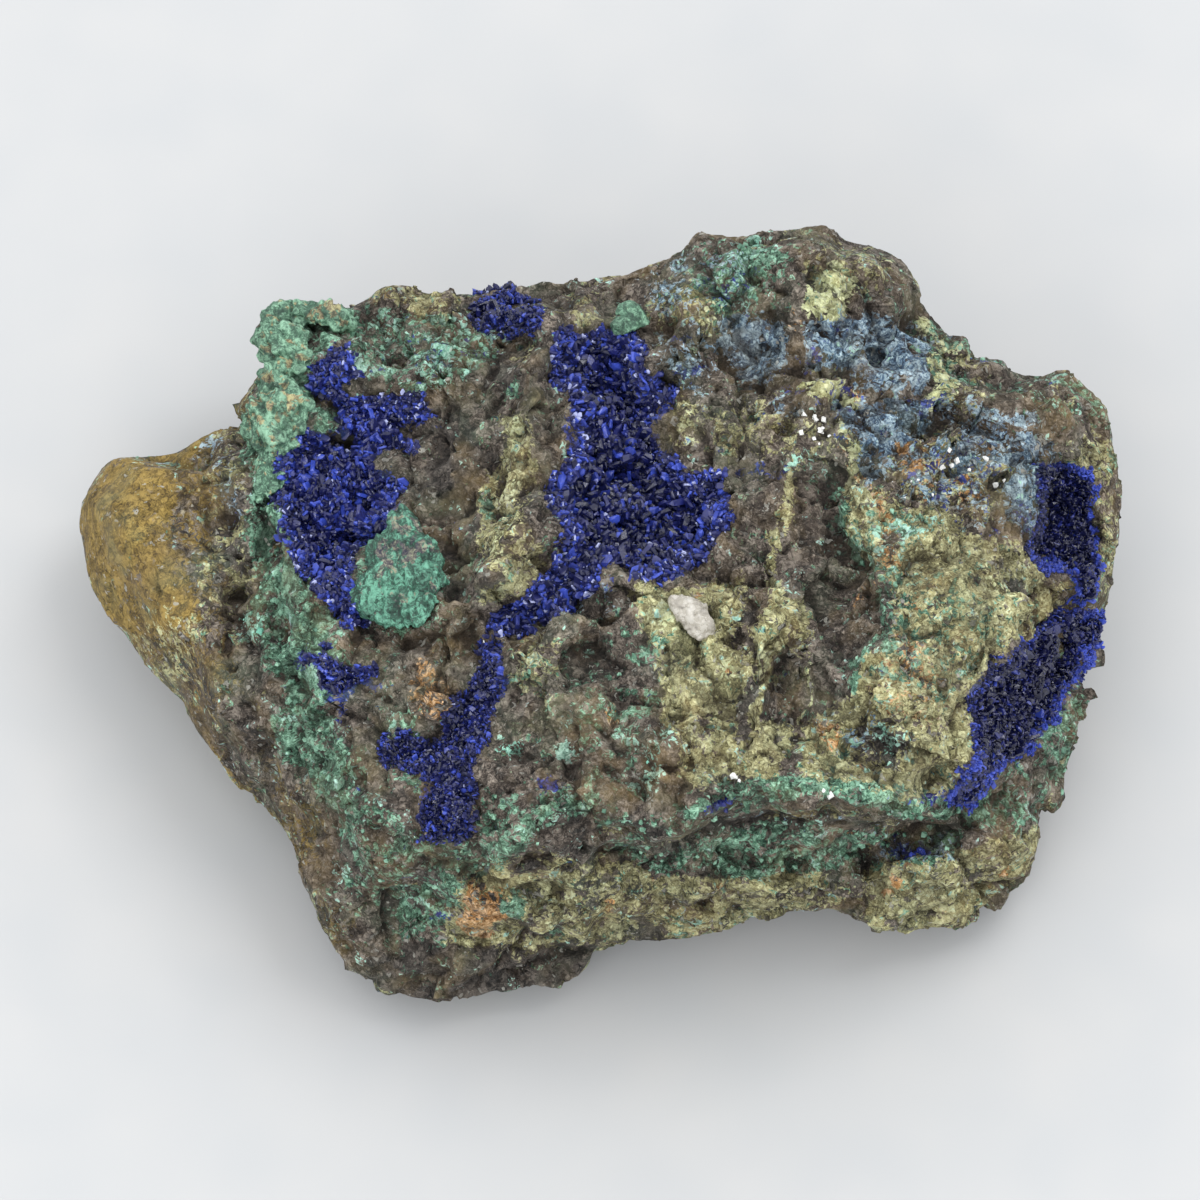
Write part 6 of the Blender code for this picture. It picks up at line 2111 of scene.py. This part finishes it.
@dataclass
class Studio:
    """Pale floor, soft light from above and behind on the right, and the camera."""

    distance: float = 1500.0
    frame_width: float = 91.8
    sensor: float = 36.0
    aim_out: float = 8.0
    floor_size: float = 3000.0
    sky: Colour = (0.96, 0.98, 1.0)
    sky_strength: float = 1.44

    def build(self) -> None:
        """Sets up the floor, the light and the camera."""
        self._floor()
        self._light()
        self._camera()

    def _floor(self) -> None:
        """A wide level sheet just at the rest face."""
        half = self.floor_size / 2.0
        corners = np.array([(-half, -half, 0.0), (half, -half, 0.0), (half, half, 0.0), (-half, half, 0.0)])
        floor = new_piece("floor", corners, np.array([[0, 1, 2, 3]]))
        floor.data.materials.append(PaperFinish().material())

    def _light(self) -> None:
        """An even sky, a large soft key and two weaker fills."""
        world = bpy.data.worlds.new("studio")
        world.use_nodes = True
        back = world.node_tree.nodes["Background"]
        back.inputs["Color"].default_value = (*self.sky, 1.0)
        back.inputs["Strength"].default_value = self.sky_strength
        bpy.context.scene.world = world
        self._area("key", (230.0, 80.0, 640.0), 300.0, 1.8)
        self._area("overhead", (-60.0, 0.0, 760.0), 700.0, 0.5)
        self._area("front fill", (-180.0, -560.0, 460.0), 420.0, 1.9)

    @staticmethod
    def _area(name: str, place: tuple[float, float, float], size: float, power: float) -> None:
        """A square light aimed at the specimen.

        Args:
            name: The light's name.
            place: Where it is, in millimetres.
            size: Its side in millimetres.
            power: Its power in watts.
        """
        data = bpy.data.lights.new(name, "AREA")
        data.size = size * MM
        data.energy = power
        lamp = put_in(name, data)
        lamp.location = Vector(place) * MM
        aim = Vector((0.0, 0.0, 12.0 * MM)) - lamp.location
        lamp.rotation_euler = aim.to_track_quat("-Z", "Y").to_euler()

    def _camera(self) -> None:
        """A long lens looking straight at the show face."""
        data = bpy.data.cameras.new("camera")
        data.sensor_width = self.sensor
        data.lens = self.sensor * self.distance / self.frame_width
        data.clip_end = 20.0
        camera = put_in("camera", data)
        camera.location = Vector(FACE.to_body(0.0, 0.0, self.aim_out + self.distance)) * MM
        aim = Vector(-FACE.out)
        camera.rotation_euler = aim.to_track_quat("-Z", "Y").to_euler()
        bpy.context.scene.camera = camera
        bpy.context.scene.view_settings.view_transform = "Standard"


# ---------- the specimen
MINT = tones((24, 48, 38), (68, 103, 82), (132, 173, 145))
NODULE_GREEN = tones((14, 36, 29), (40, 80, 64), (100, 158, 134))
NODULE_SOIL = tones((34, 34, 52), (84, 80, 78), (136, 138, 116))
# Places of near-white grains: partly pale chips, partly painted glints.
GLINTS = rounds(
    (16.2, 12.7, 1.1, 1.2, 1.2), (12.1, 9.9, 1.1, 0.6, 1.2), (9.8, 9.3, 0.6, 0.6, 1.1),
    (11.1, -13.4, 1.8, 0.5, 1), (17, -14.3, 0.5, 0.4, 0.9), (28.3, -13.3, 0.6, 0.5, 0.9),
    (26, 9.2, 4.6, 3.1, 0.11), (-4, -1.5, 0.5, 0.4, 0.7), (-8.8, -3.1, 0.4, 0.4, 0.7),
)


@dataclass
class Specimen:
    """The whole piece, grown in order: rock, crusts, malachite, quartz and loose grains."""

    rock: MatrixRock = field(default_factory=MatrixRock)
    crusts: tuple[AzuriteCrust, ...] = (
        AzuriteCrust(
            "azurite_left_hollow", LEFT_HOLLOW, 1, 0.48, 0.26, 1.4, -0.12, 0.26, LEFT_BARE,
            frosted_and_glinting=0.045,
        ),
        AzuriteCrust(
            "azurite_centre_hollow", CENTRE_HOLLOW, 2, 0.60, 0.32, 2.2, 0.10, 0.22, CENTRE_BARE,
            frosted_and_glinting=0.045,
        ),
        AzuriteCrust("azurite_y_vein", Y_VEIN, 3, 0.34, 0.22, 1.0, 0.06, 0.06),
        AzuriteCrust("azurite_side_patch", SIDE_PATCH, 4, 0.36, 0.24, 1.0, 0.05, 0.15, SIDE_BARE, patchy=0.9),
        AzuriteCrust(
            "azurite_upper_pocket", UPPER_POCKET, 5, 0.30, 0.20, 0.6, 0.42, 0.80,
            foot=0.2, frosted_and_glinting=0.004, glow_way=(0.9, -0.3),
        ),
        AzuriteCrust(
            "azurite_lens_pocket", LENS_POCKET, 6, 0.34, 0.20, 0.8, 0.30, 0.74,
            foot=0.2, frosted_and_glinting=0.006, glow_way=(0.7, -0.6),
        ),
        AzuriteCrust("azurite_top_tuft", TOP_TUFT, 7, 0.36, 0.24, 1.0, 0.12, 0.14),
    )
    malachite: tuple[MalachiteGrowth, ...] = (
        MalachiteGrowth(
            "malachite_nodule", "malachite_disc",
            MalachiteFinish("malachite, granular", NODULE_GREEN, (2.2, 0.6, 0.8), NODULE_SOIL, 0.62),
            voxel=0.12, lump=0.10, granule=0.16, flute=0.20, seed=1, flute_turn=0.12,
            fresh=rounds((-17.0, 0.5, 1.5, 1.8, 1.0), (-13.8, -1.1, 1.5, 1.9, 0.35)),
            fouled=rounds((-14.9, 4.7, 3.4, 2.6, 0.9)),
        ),
        MalachiteGrowth(
            "malachite_rind", "malachite_fluted_rind",
            MalachiteFinish("malachite, fluted", MINT, (2.2, 0.6, 0.8), soiled=0.50),
            voxel=0.13, lump=0.42, granule=0.16, flute=0.30, seed=2, flute_turn=0.5,
            fresh=rounds((-22.9, 18.6, 2.3, 3.3, 0.5), (-24.2, 12.6, 1.2, 2.7, 0.6)),
            fouled=rounds(
                (-21.0, 21.8, 2.0, 1.1, 0.8), (-25.8, 14.5, 1.0, 2.3, 0.7), (-24.4, 6.1, 1.5, 3.1, 0.5),
            ),
        ),
        MalachiteGrowth(
            "malachite_bleb", "malachite_pale_bleb",
            MalachiteFinish("malachite, pale", MINT, (1.0, 1.0, 1.0), soiled=0.7),
            voxel=0.09, lump=0.08, granule=0.07, seed=3,
        ),
    )
    quartz: QuartzGrain = field(default_factory=QuartzGrain)
    chips: RockChips = field(default_factory=RockChips)

    def build(self) -> None:
        """Builds every piece in order and reports it."""
        effects = SharedEffects()
        rock = self.rock.build(effects)
        ground = Ground(rock)
        azurite = AzuriteFinish().material(effects)
        for crust in self.crusts:
            crust.build(ground, azurite)
        for growth in self.malachite:
            growth.build(effects)
        self.quartz.build(effects)
        self.chips.build(ground, rock.data.materials[0])
        for crumbs in self._loose_grains():
            crumbs.build(ground, effects)

    @staticmethod
    def _loose_grains() -> list[Crumbs]:
        """The loose grains of each mineral."""
        green = CrumbFinish("malachite crumbs", tones((50, 82, 66), (90, 130, 108), (148, 190, 164)), 0.5)
        aqua = CrumbFinish("turquoise crumbs", tones((76, 140, 120), (122, 188, 166), (190, 232, 216)), 0.4)
        blue = CrumbFinish("azurite grains", tones((10, 14, 50), (30, 40, 116), (60, 80, 180)), 0.3)
        # Near-white grains, partly pale chips and partly painted glints.
        white = CrumbFinish("pale chips and painted glints", tones((200, 200, 196), (232, 232, 228), (252, 252, 250)), 0.18)
        malachite, azurite = Mineral.MALACHITE, Mineral.AZURITE
        return [
            Crumbs("malachite_crumbs", 1, 0.36, finish=green, density=0.9, mineral=malachite, threshold=0.25),
            Crumbs("turquoise_crumbs", 2, 0.40, finish=aqua, density=2.6, mineral=Mineral.AQUA),
            Crumbs("azurite_grains", 5, 0.38, habit=Habit.WEDGE, finish=blue, density=5.0, mineral=azurite),
            Crumbs("pale_chips_and_painted_glints", 6, 0.40, finish=white, density=6.0, places=GLINTS),
        ]


def main() -> None:
    """Builds the specimen and the studio."""
    logging.basicConfig(level=logging.INFO, format="%(message)s")
    Specimen().build()
    Studio().build()


if __name__ == "__main__":
    main()
